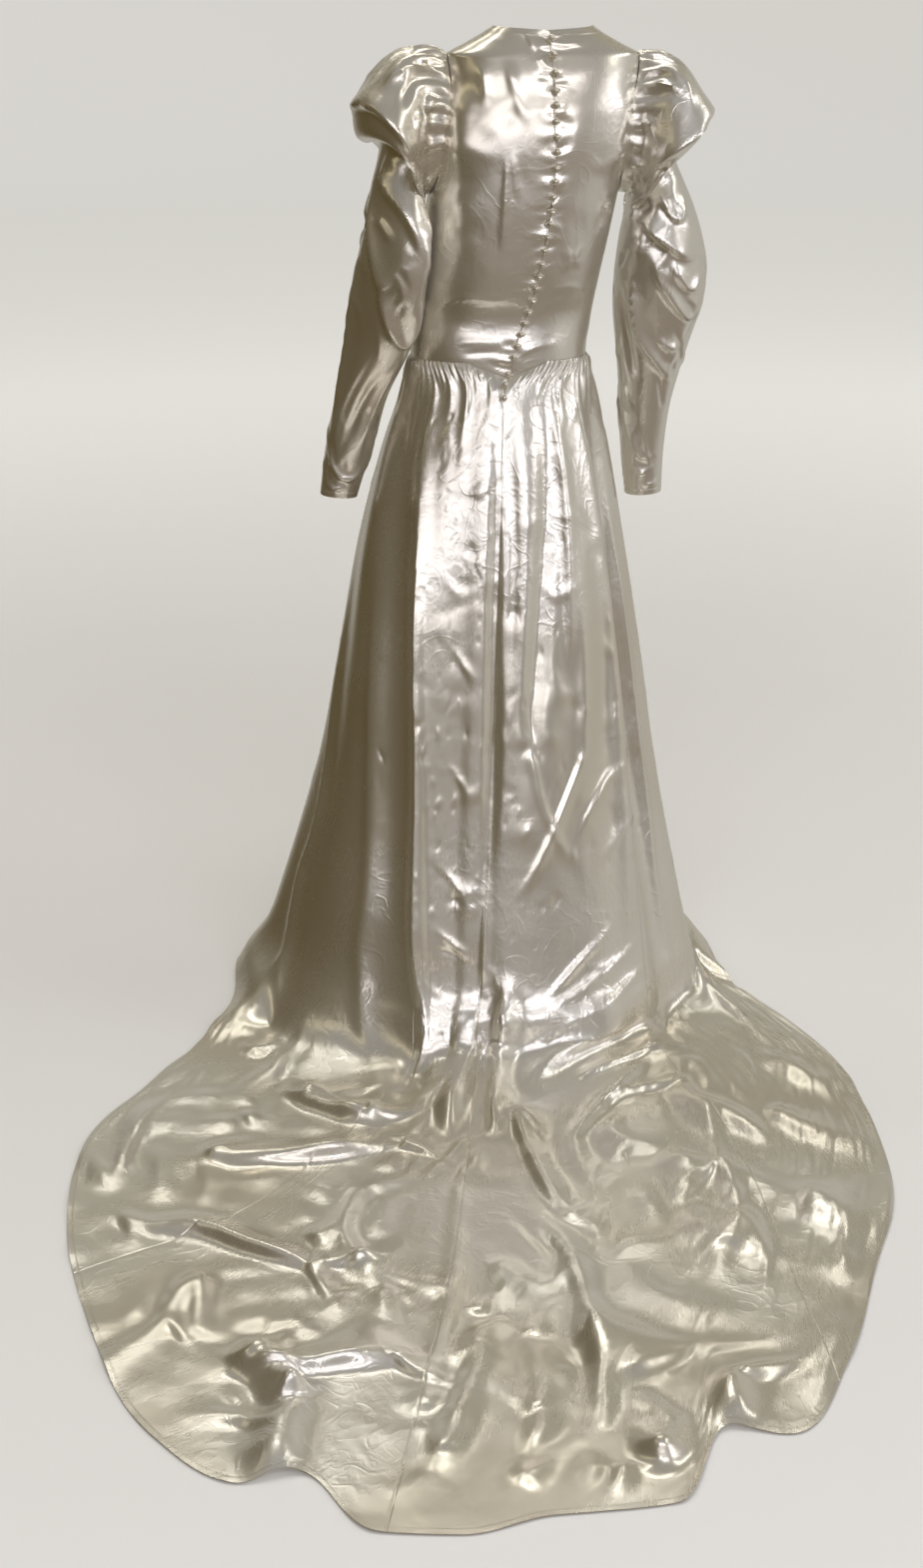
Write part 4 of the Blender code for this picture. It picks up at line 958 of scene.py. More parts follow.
# Folds of the cloth on the floor: lines in metres from the shoulders' middle, then the same values
LYING_FOLDS = (
    (((0.65, 0.59), (0.52, 0.60), (0.43, 0.61), (0.35, 0.60), (0.25, 0.58)), 25, 36, 0.3, 1.7, 0.35),
    (((0.48, 0.38), (0.40, 0.47), (0.29, 0.54)), 26, 34, 0.3, 1.7, 0.4),
    (((0.32, 0.09), (0.41, 0.24), (0.44, 0.34)), 20, 24, 0.2, 1.7, 0.6),
    (((0.33, 0.10), (0.47, 0.38), (0.54, 0.51)), -10, 16),
    (((0.74, 0.70), (0.71, 0.59), (0.67, 0.45), (0.59, 0.37)), 20, 30, 0.2, 1.7, 0.5),
    (((0.74, 0.70), (0.67, 0.76), (0.60, 0.78), (0.52, 0.84), (0.39, 0.93)), 24, 34, 0.3, 1.7, 0.35),
    (((0.26, 0.67), (0.36, 0.71), (0.39, 0.77), (0.40, 0.84), (0.38, 0.91), (0.34, 1.00)),
     18, 34, 0.2, 1.7, -0.5),
    (((0.61, 1.10), (0.52, 1.11), (0.43, 1.11), (0.31, 1.10)), 24, 34, 0.3, 1.7, 0.35),
    (((0.53, 1.36), (0.52, 1.25), (0.47, 1.12)), 34, 30),
    (((0.18, 0.48), (0.22, 0.70), (0.28, 1.00), (0.33, 1.18), (0.40, 1.31)), 10, 31, 0.2, 1.7, 0.5),
    (((0.22, 1.02), (0.27, 1.16), (0.32, 1.28), (0.38, 1.38)), 11, 34, 0.0, 1.7, 0.5),
    (((0.28, 1.42), (0.22, 1.30), (0.19, 1.18), (0.19, 1.00)), 14, 36, 0.0, 1.7, -0.5),
    (((0.35, 1.36), (0.31, 1.24), (0.26, 1.10), (0.25, 0.96)), 11, 31, 0.0, 1.7, -0.5),
    (((0.11, 0.43), (0.11, 0.61), (0.10, 0.74), (0.08, 0.87)), 19, 41, 0.2, 1.6, 0.35),
    (((0.13, 0.75), (0.11, 0.86), (0.10, 0.98), (0.11, 1.15), (0.13, 1.29), (0.12, 1.40)),
     22, 53, 0.2, 1.6, 0.30),
    (((-0.24, 0.24), (-0.20, 0.46), (-0.16, 0.63), (-0.15, 0.77), (-0.15, 0.95), (-0.12, 1.10),
      (-0.11, 1.27)),
     23, 84, -0.2, 1.6, -0.25),
    (((-0.08, 0.59), (-0.09, 0.70), (-0.08, 0.84), (-0.12, 0.97)), 10, 36, 0.0, 2.0, 0.6),
    (((0.12, 1.19), (0.05, 1.16), (-0.02, 1.12)), 7, 34, 0.2, 1.7, 0.4),
    (((0.10, 1.38), (0.07, 1.33), (0.03, 1.26)), 20, 29, 0.0, 1.7, 0.6),
    (((-0.02, 1.32), (-0.03, 1.26), (-0.06, 1.18)), 18, 26, 0.0, 1.7, 0.6),
    (((0.04, 0.40), (-0.07, 0.31), (-0.19, 0.22)), 16, 14, 0.2, 1.7, 0.5),
    (((0.03, 0.45), (-0.08, 0.39), (-0.18, 0.33)), 14, 12, 0.2, 1.7, 0.5),
    (((0.01, 0.52), (-0.09, 0.48), (-0.20, 0.45)), 12, 18, 0.2, 1.7, 0.5),
    (((-0.24, 0.52), (-0.29, 0.62), (-0.35, 0.70)), 14, 26, 0.0, 1.8, 0.5),
    (((-0.22, 0.78), (-0.27, 0.86), (-0.30, 0.95)), 16, 28, 0.0, 1.8, 0.5),
    (((-0.30, 0.36), (-0.34, 0.46), (-0.40, 0.52)), 12, 22, 0.0, 1.8, -0.5),
    (((0.56, 0.86), (0.63, 0.93), (0.66, 1.03)), 14, 28, 0.0, 1.8, 0.5),
    (((0.22, 0.86), (0.20, 0.98), (0.22, 1.10)), 8, 31, 0.0, 1.8, 0.5))


def seam_bearings(angles):
    """The bearing on every ring of the meridians that start at these waist angles."""
    starts = np.array(SEAM_STEPS, float) * WAIST_STEP
    places = np.concatenate((starts[-2:] - 360, starts, starts[:2] + 360))
    rows = np.array([SEAM_BEARINGS[name] for name in SEAM_BEARINGS]).T
    return np.stack([curve(angles, places, np.concatenate((row[-2:] - 360, row, row[:2] + 360)))
                     for row in rows])


def skirt_rings(angles):
    """The rings of the skirt from the waist to the hem."""
    bearings = seam_bearings(angles)
    rings = [torso(angles, waist_height(angles) - SEAM_GAP)]
    for k in range(len(SKIRT["height"])):
        c = np.cos(np.radians(bearings[k + 1]))
        s = np.sin(np.radians(bearings[k + 1]))
        half_width = np.where(c > 0, SKIRT["left"][k], SKIRT["right"][k])
        half_depth = np.where(s > 0, SKIRT["back"][k], SKIRT["front"][k])
        reach = 1 / np.hypot(c / half_width, s / half_depth)
        height = np.full(len(angles), SKIRT["height"][k] - SHOULDER_HEIGHT)
        rings.append(np.stack((SKIRT_AXIS_X + reach * c, reach * s, height), axis=-1))
    for k, share in enumerate((0.0, 0.5, 1.0)):
        bearing = bearings[len(SKIRT["height"]) + 1 + k]
        around = (bearing + 90) % 360 - 90
        floor = curve(around, TRAIN["bearing"], TRAIN["floor"])
        hem = curve(around, TRAIN["bearing"], TRAIN["hem"])
        lying = ease(hem - floor, LYING_STARTS, LYING_FULLY)
        reach = floor + share * (hem - floor)
        height = HANGING_FLOOR_HEIGHTS[k] + lying * (LYING_FLOOR_HEIGHTS[k] - HANGING_FLOOR_HEIGHTS[k])
        c = np.cos(np.radians(bearing))
        s = np.sin(np.radians(bearing))
        rings.append(np.stack((SKIRT_AXIS_X + reach * c, reach * s, height - SHOULDER_HEIGHT), axis=-1))
    return np.stack(rings)


# One fine grid for the whole skirt, its columns shared out to the panels
panel_angles = [np.linspace(start, end, count + 1)[:-1] * WAIST_STEP
                for _, start, end, count, _, _, _ in PANELS]
skirt_angles = np.concatenate(panel_angles)
skirt_ring_points = skirt_rings(skirt_angles)
trial = np.linspace(0, LAST_LEVEL, 900)
skirt_levels = even_levels(loft(trial, skirt_ring_points[:, BACK_COLUMNS]), trial, FINE_ROWS)
skirt = loft(skirt_levels, skirt_ring_points)
skirt_out = unit(skirt * (1, 1, 0) - (SKIRT_AXIS_X, 0, 0))
spread = np.linalg.norm((skirt_ring_points[-1] - skirt_ring_points[-3])[:, :2], axis=1)
lies = ease(skirt_levels, *FOLDS_TURN_UP)[:, None] * ease(spread, LYING_STARTS, LYING_FULLY)[None, :]

# Gathers of mixed width and length along the waist seam
waist_random = np.random.default_rng(19)
fold_depth = np.zeros(skirt.shape[:2])
GATHERS_START = -33.0
GATHERS_END = 326.0
gather_angle = GATHERS_START
while gather_angle < GATHERS_END:
    step = waist_random.uniform(2.6, 5.4)
    high = waist_random.uniform(0.0020, 0.0046)
    length = waist_random.choice((0.8, 1.3, 1.9, 2.8), p=(0.35, 0.35, 0.22, 0.08))
    drift = waist_random.uniform(-1.5, 1.5)
    middle = gather_angle + step / 2 + drift * skirt_levels[:, None]
    width = step * (0.32 + 0.22 * skirt_levels[:, None])
    off = (skirt_angles[None, :] - middle + 180) % 360 - 180
    share = ease(skirt_levels, 0.0, 0.18) * (1 - ease(skirt_levels, 0.35 * length, length))
    fold_depth += high * share[:, None] * np.exp(-(off / width) ** 2)
    gather_angle += step
for k in range(len(FOLDS["angle"])):
    off = (skirt_angles - FOLDS["angle"][k] + 180) % 360 - 180
    amount = curve(skirt_levels, FOLD_LEVELS,
                   (0.0, FOLDS["hip"][k], FOLDS["knee"][k], FOLDS["floor"][k], FOLDS["hem"][k]))
    fold_depth += amount[:, None] * np.exp(-(off / FOLDS["width"][k]) ** 2)[None, :]
skirt += ((1 - lies) * fold_depth)[..., None] * skirt_out
skirt[..., 2] += lies * fold_depth


def on_skirt(grid, angle, level):
    """A place on the skirt's grid."""
    row = np.interp(level, skirt_levels, np.arange(FINE_ROWS))
    around = (angle - skirt_angles[0]) % 360 + skirt_angles[0]
    column = np.interp(around, skirt_angles, np.arange(len(skirt_angles)))
    i, j = min(int(row), FINE_ROWS - 2), min(int(column), len(skirt_angles) - 2)
    a, b = row - i, column - j
    return ((1 - a) * (1 - b) * grid[i, j] + (1 - a) * b * grid[i, j + 1]
            + a * (1 - b) * grid[i + 1, j] + a * b * grid[i + 1, j + 1])


skirt_base = skirt.copy()
skirt_normals = grid_normals(skirt, closed=True) * -1
for line, high, wide, *profile in HANGING_FOLDS:
    line = [on_skirt(skirt_base, *place) for place in line]
    crease(skirt, skirt_normals, line, high / 1000, wide / 1000, *profile)


def lying_fold(line, high, wide, lean=0.0, sharp=2.0, steep=1.0, whole=(0.4, 0.6)):
    """A fold of the cloth that lies on the floor, by where it runs in plan."""
    line = bent(line)
    flat = skirt.reshape(-1, 3)
    reach = CREASE_REACH * wide
    plan = flat[:, :2]
    near = np.all((plan > line.min(axis=0) - reach) & (plan < line.max(axis=0) + reach), axis=1)
    near &= lies.ravel() > 0.02
    if not near.any():
        return
    distance, away, place, heading = along_line(flat[near, :2], line)
    right_hand = np.stack((heading[:, 1], -heading[:, 0]), axis=-1)
    right = (away * right_hand).sum(axis=1) * np.sign(steep)
    width = wide * np.where(right > 0, abs(steep), 1.0)
    amount = high * np.exp(-(distance / width) ** sharp) * taper(place, *whole) * lies.ravel()[near]
    flat[near, 2] += amount
    flat[near, :2] += (lean * amount)[:, None] * right_hand


# Each fold has a few smaller ones that branch off it
BRANCHES = 3
branch_random = np.random.default_rng(47)
for line, high, wide, *profile in LYING_FOLDS:
    lying_fold(line, high / 1000, wide / 1000, *profile)
    for _ in range(BRANCHES):
        k = branch_random.integers(0, len(line) - 1)
        start = (np.array(line[k]) + line[k + 1]) / 2
        heading = math.atan2(line[k + 1][1] - line[k][1], line[k + 1][0] - line[k][0])
        heading += branch_random.choice((-1, 1)) * branch_random.uniform(0.35, 0.9)
        length = branch_random.uniform(0.07, 0.18)
        middle = start + length / 2 * np.array((math.cos(heading), math.sin(heading)))
        heading += branch_random.uniform(-0.5, 0.5)
        end = middle + length / 2 * np.array((math.cos(heading), math.sin(heading)))
        lying_fold((start, middle, end), branch_random.uniform(0.25, 0.55) * high / 1000,
                   branch_random.uniform(0.5, 0.8) * wide / 1000, *profile, whole=(0.1, 0.3))

# Small soft bends between the folds, as the weight of the cloth leaves them
SOFT_BENDS = 120
bend_random = np.random.default_rng(23)
for _ in range(SOFT_BENDS):
    bearing = math.radians(bend_random.uniform(20, 150))
    reach = bend_random.uniform(0.45, 1.35)
    start = np.array((SKIRT_AXIS_X + reach * math.cos(bearing), reach * math.sin(bearing)))
    heading = bend_random.uniform(0, math.pi)
    length = bend_random.uniform(0.05, 0.20)
    turn = bend_random.uniform(-0.7, 0.7)
    middle = start + length / 2 * np.array((math.cos(heading), math.sin(heading)))
    end = middle + length / 2 * np.array((math.cos(heading + turn), math.sin(heading + turn)))
    lying_fold((start, middle, end), bend_random.uniform(-0.007, 0.011), bend_random.uniform(0.018, 0.036),
               steep=bend_random.choice((0.5, 1.0)), whole=(0.5, 0.5))

# Wide shallow waves keep the train from lying dead flat
WAVES = 14
WAVE_LIFT = 0.006
WAVE_STEEPNESS = 0.006       # a wave's height over its length
wave_random = np.random.default_rng(61)
wave = np.full(lies.shape, WAVE_LIFT)
for _ in range(WAVES):
    heading = wave_random.uniform(0, math.pi)
    length = wave_random.uniform(0.10, 0.34)
    along = skirt[..., 0] * math.cos(heading) + skirt[..., 1] * math.sin(heading)
    bowed = along + 0.15 * length * np.sin(4 * skirt[..., 1] / length + wave_random.uniform(0, 6))
    wave += WAVE_STEEPNESS * length * np.sin(2 * math.pi * bowed / length + wave_random.uniform(0, 6))
skirt[..., 2] += lies * wave
FLOOR_GAP = 0.0003           # between the cloth's underside and the floor
LOWEST = FLOOR_GAP + CLOTH - SHOULDER_HEIGHT
skirt[..., 2] = np.maximum(skirt[..., 2], LOWEST)

# The cloth is let go for a second: the waist and the hanging folds are held, the train has a little
# spare length, and it sinks and buckles on the floor
SETTLE_EVERY_ROW = 4
SETTLE_EVERY_COLUMN = 3
SETTLE_FRAMES = 20
SPARE_LENGTH = 0.012
SETTLE_BENDING = 20.0
SETTLE_STRETCH = 20.0


def spread_out(values, places, count):
    """Values known at some places along the first axis, at all of 0 to count - 1."""
    at = np.arange(count)
    i = np.clip(np.searchsorted(places, at, side="right") - 1, 0, len(places) - 2)
    step = (places[i + 1] - places[i])[:, None, None].astype(float)
    slopes = np.gradient(values, places.astype(float), axis=0)
    t = (at - places[i])[:, None, None] / step
    return hermite(t, values[i], values[i + 1], slopes[i] * step, slopes[i + 1] * step)


def settle(points, hold, loose):
    """How far each point of the closed grid moves when the cloth is let go."""
    rows = np.unique(np.append(np.arange(0, points.shape[0], SETTLE_EVERY_ROW), points.shape[0] - 1))
    across = np.arange(0, points.shape[1], SETTLE_EVERY_COLUMN)
    start = points[np.ix_(rows, across)]
    count = len(across)
    column = np.arange(count)
    beside = (column + 1) % count
    down = np.arange(len(rows) - 1)[:, None] * count
    faces = np.stack((down + column, down + count + column, down + count + beside, down + beside), -1)
    mesh = bpy.data.meshes.new("settling")
    mesh.from_pydata(start.reshape(-1, 3).tolist(), [], faces.reshape(-1, 4).tolist())
    mesh.update()
    sheet = bpy.data.objects.new("settling", mesh)
    bpy.context.scene.collection.objects.link(sheet)
    held = sheet.vertex_groups.new(name="held")
    spare = sheet.vertex_groups.new(name="spare")
    for k, (weight, share) in enumerate(zip(hold[np.ix_(rows, across)].ravel().tolist(),
                                            loose[np.ix_(rows, across)].ravel().tolist())):
        held.add([k], weight, "REPLACE")
        spare.add([k], share, "REPLACE")
    bpy.ops.mesh.primitive_plane_add(size=8, location=(0, 0, CLOTH - SHOULDER_HEIGHT))
    ground = bpy.context.active_object
    ground.modifiers.new("ground", "COLLISION")
    ground.collision.thickness_outer = 0.001
    ground.collision.cloth_friction = 8
    modifier = sheet.modifiers.new("cloth", "CLOTH")
    cloth_settings = modifier.settings
    cloth_settings.quality = 6
    cloth_settings.mass = 0.25
    cloth_settings.air_damping = 2
    cloth_settings.tension_stiffness = SETTLE_STRETCH
    cloth_settings.compression_stiffness = SETTLE_STRETCH
    cloth_settings.shear_stiffness = 8
    cloth_settings.bending_stiffness = SETTLE_BENDING
    cloth_settings.vertex_group_mass = held.name
    cloth_settings.vertex_group_shrink = spare.name
    cloth_settings.shrink_max = -SPARE_LENGTH
    modifier.collision_settings.distance_min = 0.0015
    modifier.collision_settings.use_self_collision = False
    modifier.point_cache.frame_end = SETTLE_FRAMES + 1
    for frame_number in range(1, SETTLE_FRAMES + 1):
        bpy.context.scene.frame_set(frame_number)
    settled = sheet.evaluated_get(bpy.context.evaluated_depsgraph_get())
    ended = np.empty(start.size, np.float32)
    settled.data.vertices.foreach_get("co", ended)
    moved = ended.reshape(start.shape) - start
    bpy.context.scene.frame_set(1)
    bpy.data.objects.remove(sheet)
    bpy.data.objects.remove(ground)
    moved = spread_out(moved, rows, points.shape[0])
    around = np.concatenate((across, [points.shape[1]]))
    moved = np.concatenate((moved, moved[:, :1]), axis=1)
    return spread_out(moved.transpose(1, 0, 2), around, points.shape[1]).transpose(1, 0, 2)


hold = np.where(skirt_levels[:, None] < 0.5, 1.0, 0.9 * (1 - lies))
skirt += settle(skirt, hold, lies)
skirt[..., 2] = np.maximum(skirt[..., 2], LOWEST)

# Cloudy undulations, and the fine sharp creases that storage pressed into the cloth: how many there
# are, the last level they reach, their length in levels and in degrees, height and width in
# millimetres, and their two ends
PRESSED = (
    (190, 9.6, 0.30, 9.0, 1.6, 28.0, (0.5, 0.5)),
    (80, 8.6, 0.25, 7.0, 1.3, 14.0, (0.5, 0.5)),
    (420, 7.2, 0.16, 4.5, 1.0, 4.2, (0.3, 0.6)))
press_random = np.random.default_rng(31)
for count, last_level, levels_long, degrees_long, high, wide, whole in PRESSED:
    skirt_base = skirt.copy()
    skirt_normals = grid_normals(skirt, closed=True) * -1
    for _ in range(count):
        behind = press_random.random() < 0.72
        angle = press_random.uniform(36, 162) if behind else press_random.uniform(162, 396)
        level = press_random.uniform(1.4, last_level if behind else 7.4)
        rise = press_random.uniform(-1.0, 1.0) * levels_long
        sweep = press_random.uniform(-1.0, 1.0) * degrees_long
        bow = press_random.uniform(-0.2, 0.2) * degrees_long
        line = [on_skirt(skirt_base, angle + sweep * t + bow * (t == 0.5), min(level + rise * t, 9.9))
                for t in (0, 0.5, 1)]
        crease(skirt, skirt_normals, line, press_random.uniform(-0.9, 1.0) * high / 1000,
               press_random.uniform(0.7, 1.3) * wide / 1000, whole=whole,
               steep=press_random.choice((0.5, 1.0)))

# The train's columns lie far apart, so what is finer than them is smoothed out
SMOOTHINGS = 3
for _ in range(SMOOTHINGS):
    smoothed = (np.roll(skirt, 1, axis=1) + 2 * skirt + np.roll(skirt, -1, axis=1)) / 4
    skirt += lies[..., None] * (smoothed - skirt)
skirt[..., 2] = np.maximum(skirt[..., 2], LOWEST)


CLOSE_ROWS = np.array((0.0075, 0.0065, 0.0030, 0.0))   # from the hem's edge, round its stitches
CLOSE_START = 0.012


def resampled(points, count):
    """The columns divided evenly along their length, with close rows at the stitched end."""
    length = travelled(points, 0)
    padded = np.concatenate((2 * points[:1] - points[1:2], points, 2 * points[-1:] - points[-2:-1]))
    made = np.empty((count, points.shape[1], 3))
    from_end = np.empty((count, points.shape[1]))
    for k in range(points.shape[1]):
        total = length[-1, k]
        even = np.linspace(0, total - CLOSE_START, count - len(CLOSE_ROWS))
        wanted = np.concatenate((even, total - CLOSE_ROWS))
        row = np.interp(wanted, length[:, k], np.arange(len(points)))
        i = np.minimum(row.astype(int), len(points) - 2)
        t = (row - i)[:, None]
        column = padded[:, k]
        made[:, k] = hermite(t, column[i + 1], column[i + 2], (column[i + 2] - column[i]) / 2,
                             (column[i + 3] - column[i + 1]) / 2)
        from_end[:, k] = total - wanted
    return made, from_end


first_column = 0
for name, start, end, count, rows, flat, area in PANELS:
    taken = np.arange(first_column, first_column + count + 1) % len(skirt_angles)
    first_column += count
    points, from_hem = resampled(skirt[:, taken], rows)
    turn = unit(np.gradient(points, axis=1))
    points[:, 0] += turn[:, 0] * SEAM_GAP / 2
    points[:, -1] -= turn[:, -1] * SEAM_GAP / 2
    edge = from_side_edges(points)
    panel = cloth("satin_" + name, points[::-1], edge[::-1], from_hem[::-1])
    panel.data.materials.append(satin("satin_" + name))
    stands_for(panel, name)


# Closure.
# Twenty-seven ball buttons, each a disc of the satin gathered round a moulded core on a short shank.
# They stand on the right back's edge and down the seam below it, and a loop of bias-cut satin cord
# from the left edge holds each of the bodice's twenty-five.

BALL_RADIUS = 0.0055
BALL_FLATNESS = 0.78
BUTTON_RISE = 0.0052         # the ball's middle above the cloth
BUTTON_SEGMENTS = 24
BUTTON_RINGS = 14
PUCKER_RINGS = 4             # the lowest rings of the ball are gathered under it
PUCKER_SHARE = 0.84
LOOP_RADIUS = 0.0058
CORD_RADIUS = 0.0010
LOOP_SEGMENTS = 28
LOOP_LIFT = 0.0002           # off the cloth
SKIRT_BUTTON_HEIGHTS = (1.034, 1.017)

bpy.ops.mesh.primitive_uv_sphere_add(segments=BUTTON_SEGMENTS, ring_count=BUTTON_RINGS, radius=BALL_RADIUS,
                                     location=(0, 0, BUTTON_RISE), scale=(1, 1, BALL_FLATNESS))
button_model = bpy.context.active_object
bpy.ops.object.transform_apply(location=True, rotation=True, scale=True)
heights = sorted({round(vertex.co.z, 6) for vertex in button_model.data.vertices})
for vertex in button_model.data.vertices:
    turn = math.atan2(vertex.co.y, vertex.co.x) / (2 * math.pi) * BUTTON_SEGMENTS
    low = round(vertex.co.z, 6) in heights[1:PUCKER_RINGS + 1]
    vertex.select = low and round(turn) % 2 == 0
bpy.ops.object.mode_set(mode="EDIT")
bpy.ops.mesh.select_mode(type="VERT")
bpy.ops.transform.resize(value=(PUCKER_SHARE, PUCKER_SHARE, 1), center_override=(0, 0, 0))
bpy.ops.object.mode_set(mode="OBJECT")
for polygon in button_model.data.polygons:
    polygon.select = polygon.center.z < heights[1]
bpy.ops.object.mode_set(mode="EDIT")
bpy.ops.mesh.select_mode(type="FACE")
shank_end = BALL_RADIUS * BALL_FLATNESS - BUTTON_RISE
bpy.ops.mesh.extrude_region_move(TRANSFORM_OT_translate={"value": (0, 0, shank_end)})
bpy.ops.object.mode_set(mode="OBJECT")
bpy.ops.object.shade_smooth()
button_model.select_set(False)

# The loop: a ring of cord, its left side drawn in towards the left back's edge
bpy.ops.mesh.primitive_torus_add(major_radius=LOOP_RADIUS, minor_radius=CORD_RADIUS,
                                 major_segments=LOOP_SEGMENTS, minor_segments=8,
                                 location=(0, 0, CORD_RADIUS))
loop_model = bpy.context.active_object
bpy.ops.object.transform_apply(location=True, rotation=True, scale=True)
for vertex in loop_model.data.vertices:
    vertex.select = vertex.co.x < 0
bpy.ops.object.mode_set(mode="EDIT")
bpy.ops.mesh.select_mode(type="VERT")
bpy.ops.transform.resize(value=(1.15, 0.55, 1), center_override=(0, 0, 0))
bpy.ops.object.mode_set(mode="OBJECT")
bpy.ops.object.shade_smooth()
loop_model.select_set(False)


def covering(name, base, rough, stretch):
    """The satin stretched over something small: its sheen, its threads and small wrinkles."""
    material, nodes, shader = new_material(name)
    shader.inputs["Metallic"].default_value = 0.70
    place = nodes.add("ShaderNodeTexCoord", output="Object")
    threads = nodes.add("ShaderNodeMapping", None, {"Vector": place, "Scale": stretch})
    grain = nodes.add("ShaderNodeTexNoise", None, {"Vector": threads, "Scale": 1.0, "Detail": 2.0})
    shade = nodes.add("ShaderNodeTexNoise", None, {"Vector": place, "Scale": 90.0, "Detail": 1.0})
    nodes.put(shader.inputs["Base Color"], nodes.blend(shade, base, SATIN_LIGHT))
    nodes.put(shader.inputs["Roughness"], rough + grain * 0.12)
    height = grain * 0.00006 + shade * 0.00020
    bump = nodes.add("ShaderNodeBump", None, {"Height": height, "Distance": 1.0})
    nodes.put(shader.inputs["Normal"], bump)
    return material


def stood_copy(model, name, foot, out):
    """A copy of a model with its own mesh, stood on a place of the cloth."""
    made = model.copy()
    made.data = model.data.copy()
    made.name = name
    made.location = foot
    made.rotation_euler = Vector(out).to_track_quat("Z", "Y").to_euler()
    bpy.context.scene.collection.objects.link(made)
    made.select_set(True)
    bpy.context.view_layer.objects.active = made
    bpy.ops.object.transform_apply(location=True, rotation=True, scale=True)
    made.select_set(False)
    return made


covered = covering("covered_button", (0.70, 0.64, 0.50, 1.0), 0.26, (900.0, 900.0, 120.0))
corded = covering("loop_cord", (0.76, 0.70, 0.55, 1.0), 0.30, (1400.0, 1400.0, 300.0))
bodice_edge = back_right[:, 0]
skirt_edge = skirt[:, np.argmin(abs(skirt_angles - QUARTER * WAIST_STEP))]
loops = []
for n, height in enumerate(list(button_heights()) + list(SKIRT_BUTTON_HEIGHTS)):
    edge = bodice_edge if height > WAIST_HEIGHT else skirt_edge[::-1]
    z = height - SHOULDER_HEIGHT
    foot = np.array([np.interp(z, edge[:, 2], edge[:, axis]) for axis in range(3)])
    above = np.array([np.interp(z + 0.004, edge[:, 2], edge[:, axis]) for axis in range(3)])
    out = unit(np.cross((1.0, 0.0, 0.0), above - foot))
    out = out * np.sign(out[1])
    button = stood_copy(button_model, f"covered_button_{n + 1:02d}", foot + out * 2 * CORD_RADIUS, out)
    button.data.materials.append(covered)
    stands_for(button, f"button_{n + 1:02d}")
    if height > WAIST_HEIGHT:
        loops.append(stood_copy(loop_model, f"loop_{n + 1:02d}", foot + out * LOOP_LIFT, out))
for loop in loops:
    loop.select_set(True)
bpy.context.view_layer.objects.active = loops[0]
bpy.ops.object.join()
loops = bpy.context.active_object
loops.name = "satin_loops"
loops.data.materials.append(corded)
loops.select_set(False)
stands_for(loops, "button_loops")
bpy.data.objects.remove(button_model)
bpy.data.objects.remove(loop_model)


# Studio.
# A pale floor that sweeps up all round into the backdrop, soft lights behind the camera and over the
# train, and a camera where the photograph's was. The satin mirrors the world's walls and not the floor.

FLOOR_RADIUS = 12
BACKDROP_STEPS = ((0.0, 1.04), (0.12, 1.05), (0.4, 1.05), (0.9, 1.05), (1.8, 1.04), (4.0, 1.02), (6.0, 1.0))
bpy.ops.object.select_all(action="DESELECT")
bpy.ops.mesh.primitive_circle_add(vertices=128, radius=FLOOR_RADIUS, fill_type="NGON",
                                  location=(0, 0, -SHOULDER_HEIGHT))
floor = bpy.context.active_object
floor.name = "floor"
bpy.ops.object.mode_set(mode="EDIT")
bpy.ops.mesh.select_all(action="SELECT")
bpy.ops.mesh.region_to_loop()
for rise, grow in BACKDROP_STEPS:
    bpy.ops.mesh.extrude_edges_move(TRANSFORM_OT_translate={"value": (0, 0, rise)})
    bpy.ops.transform.resize(value=(grow, grow, 1))
bpy.ops.object.mode_set(mode="OBJECT")
bpy.ops.object.shade_smooth()
FLOOR_PALE = (0.88, 0.88, 0.87, 1.0)
BACKDROP_GLOW = (0.47, 0.465, 0.45, 1.0)
UNLIT = (0.0, 0.0, 0.0, 1.0)
paint, surface, matt = new_material("floor")
matt.inputs["Base Color"].default_value = FLOOR_PALE
matt.inputs["Roughness"].default_value = 0.8
matt.inputs["Specular IOR Level"].default_value = 0.1
matt.inputs["Emission Strength"].default_value = 1.0
spot = surface.add("ShaderNodeTexCoord", output="Object")
distance = surface.add("ShaderNodeVectorMath", {"operation": "LENGTH"}, {0: spot}, 1)
glow = surface.blend(surface.band(distance, 0.6, 6.0), UNLIT, BACKDROP_GLOW)
surface.put(matt.inputs["Emission Color"], glow)
paint.cycles.emission_sampling = "NONE"
floor.data.materials.append(paint)
floor.visible_glossy = False
floor.visible_diffuse = False


def soft_light(name, place, aim, size, watts, colour, in_reflections=True, shape="RECTANGLE"):
    """A soft light that faces aim and is itself out of the picture."""
    light = bpy.data.lights.new(name, "AREA")
    light.shape = shape
    light.size, light.size_y = size
    light.energy = watts
    light.color = colour
    made = bpy.data.objects.new(name, light)
    made.location = place
    made.rotation_euler = (Vector(aim) - Vector(place)).to_track_quat("-Z", "Y").to_euler()
    made.visible_camera = False
    made.visible_glossy = in_reflections
    bpy.context.scene.collection.objects.link(made)


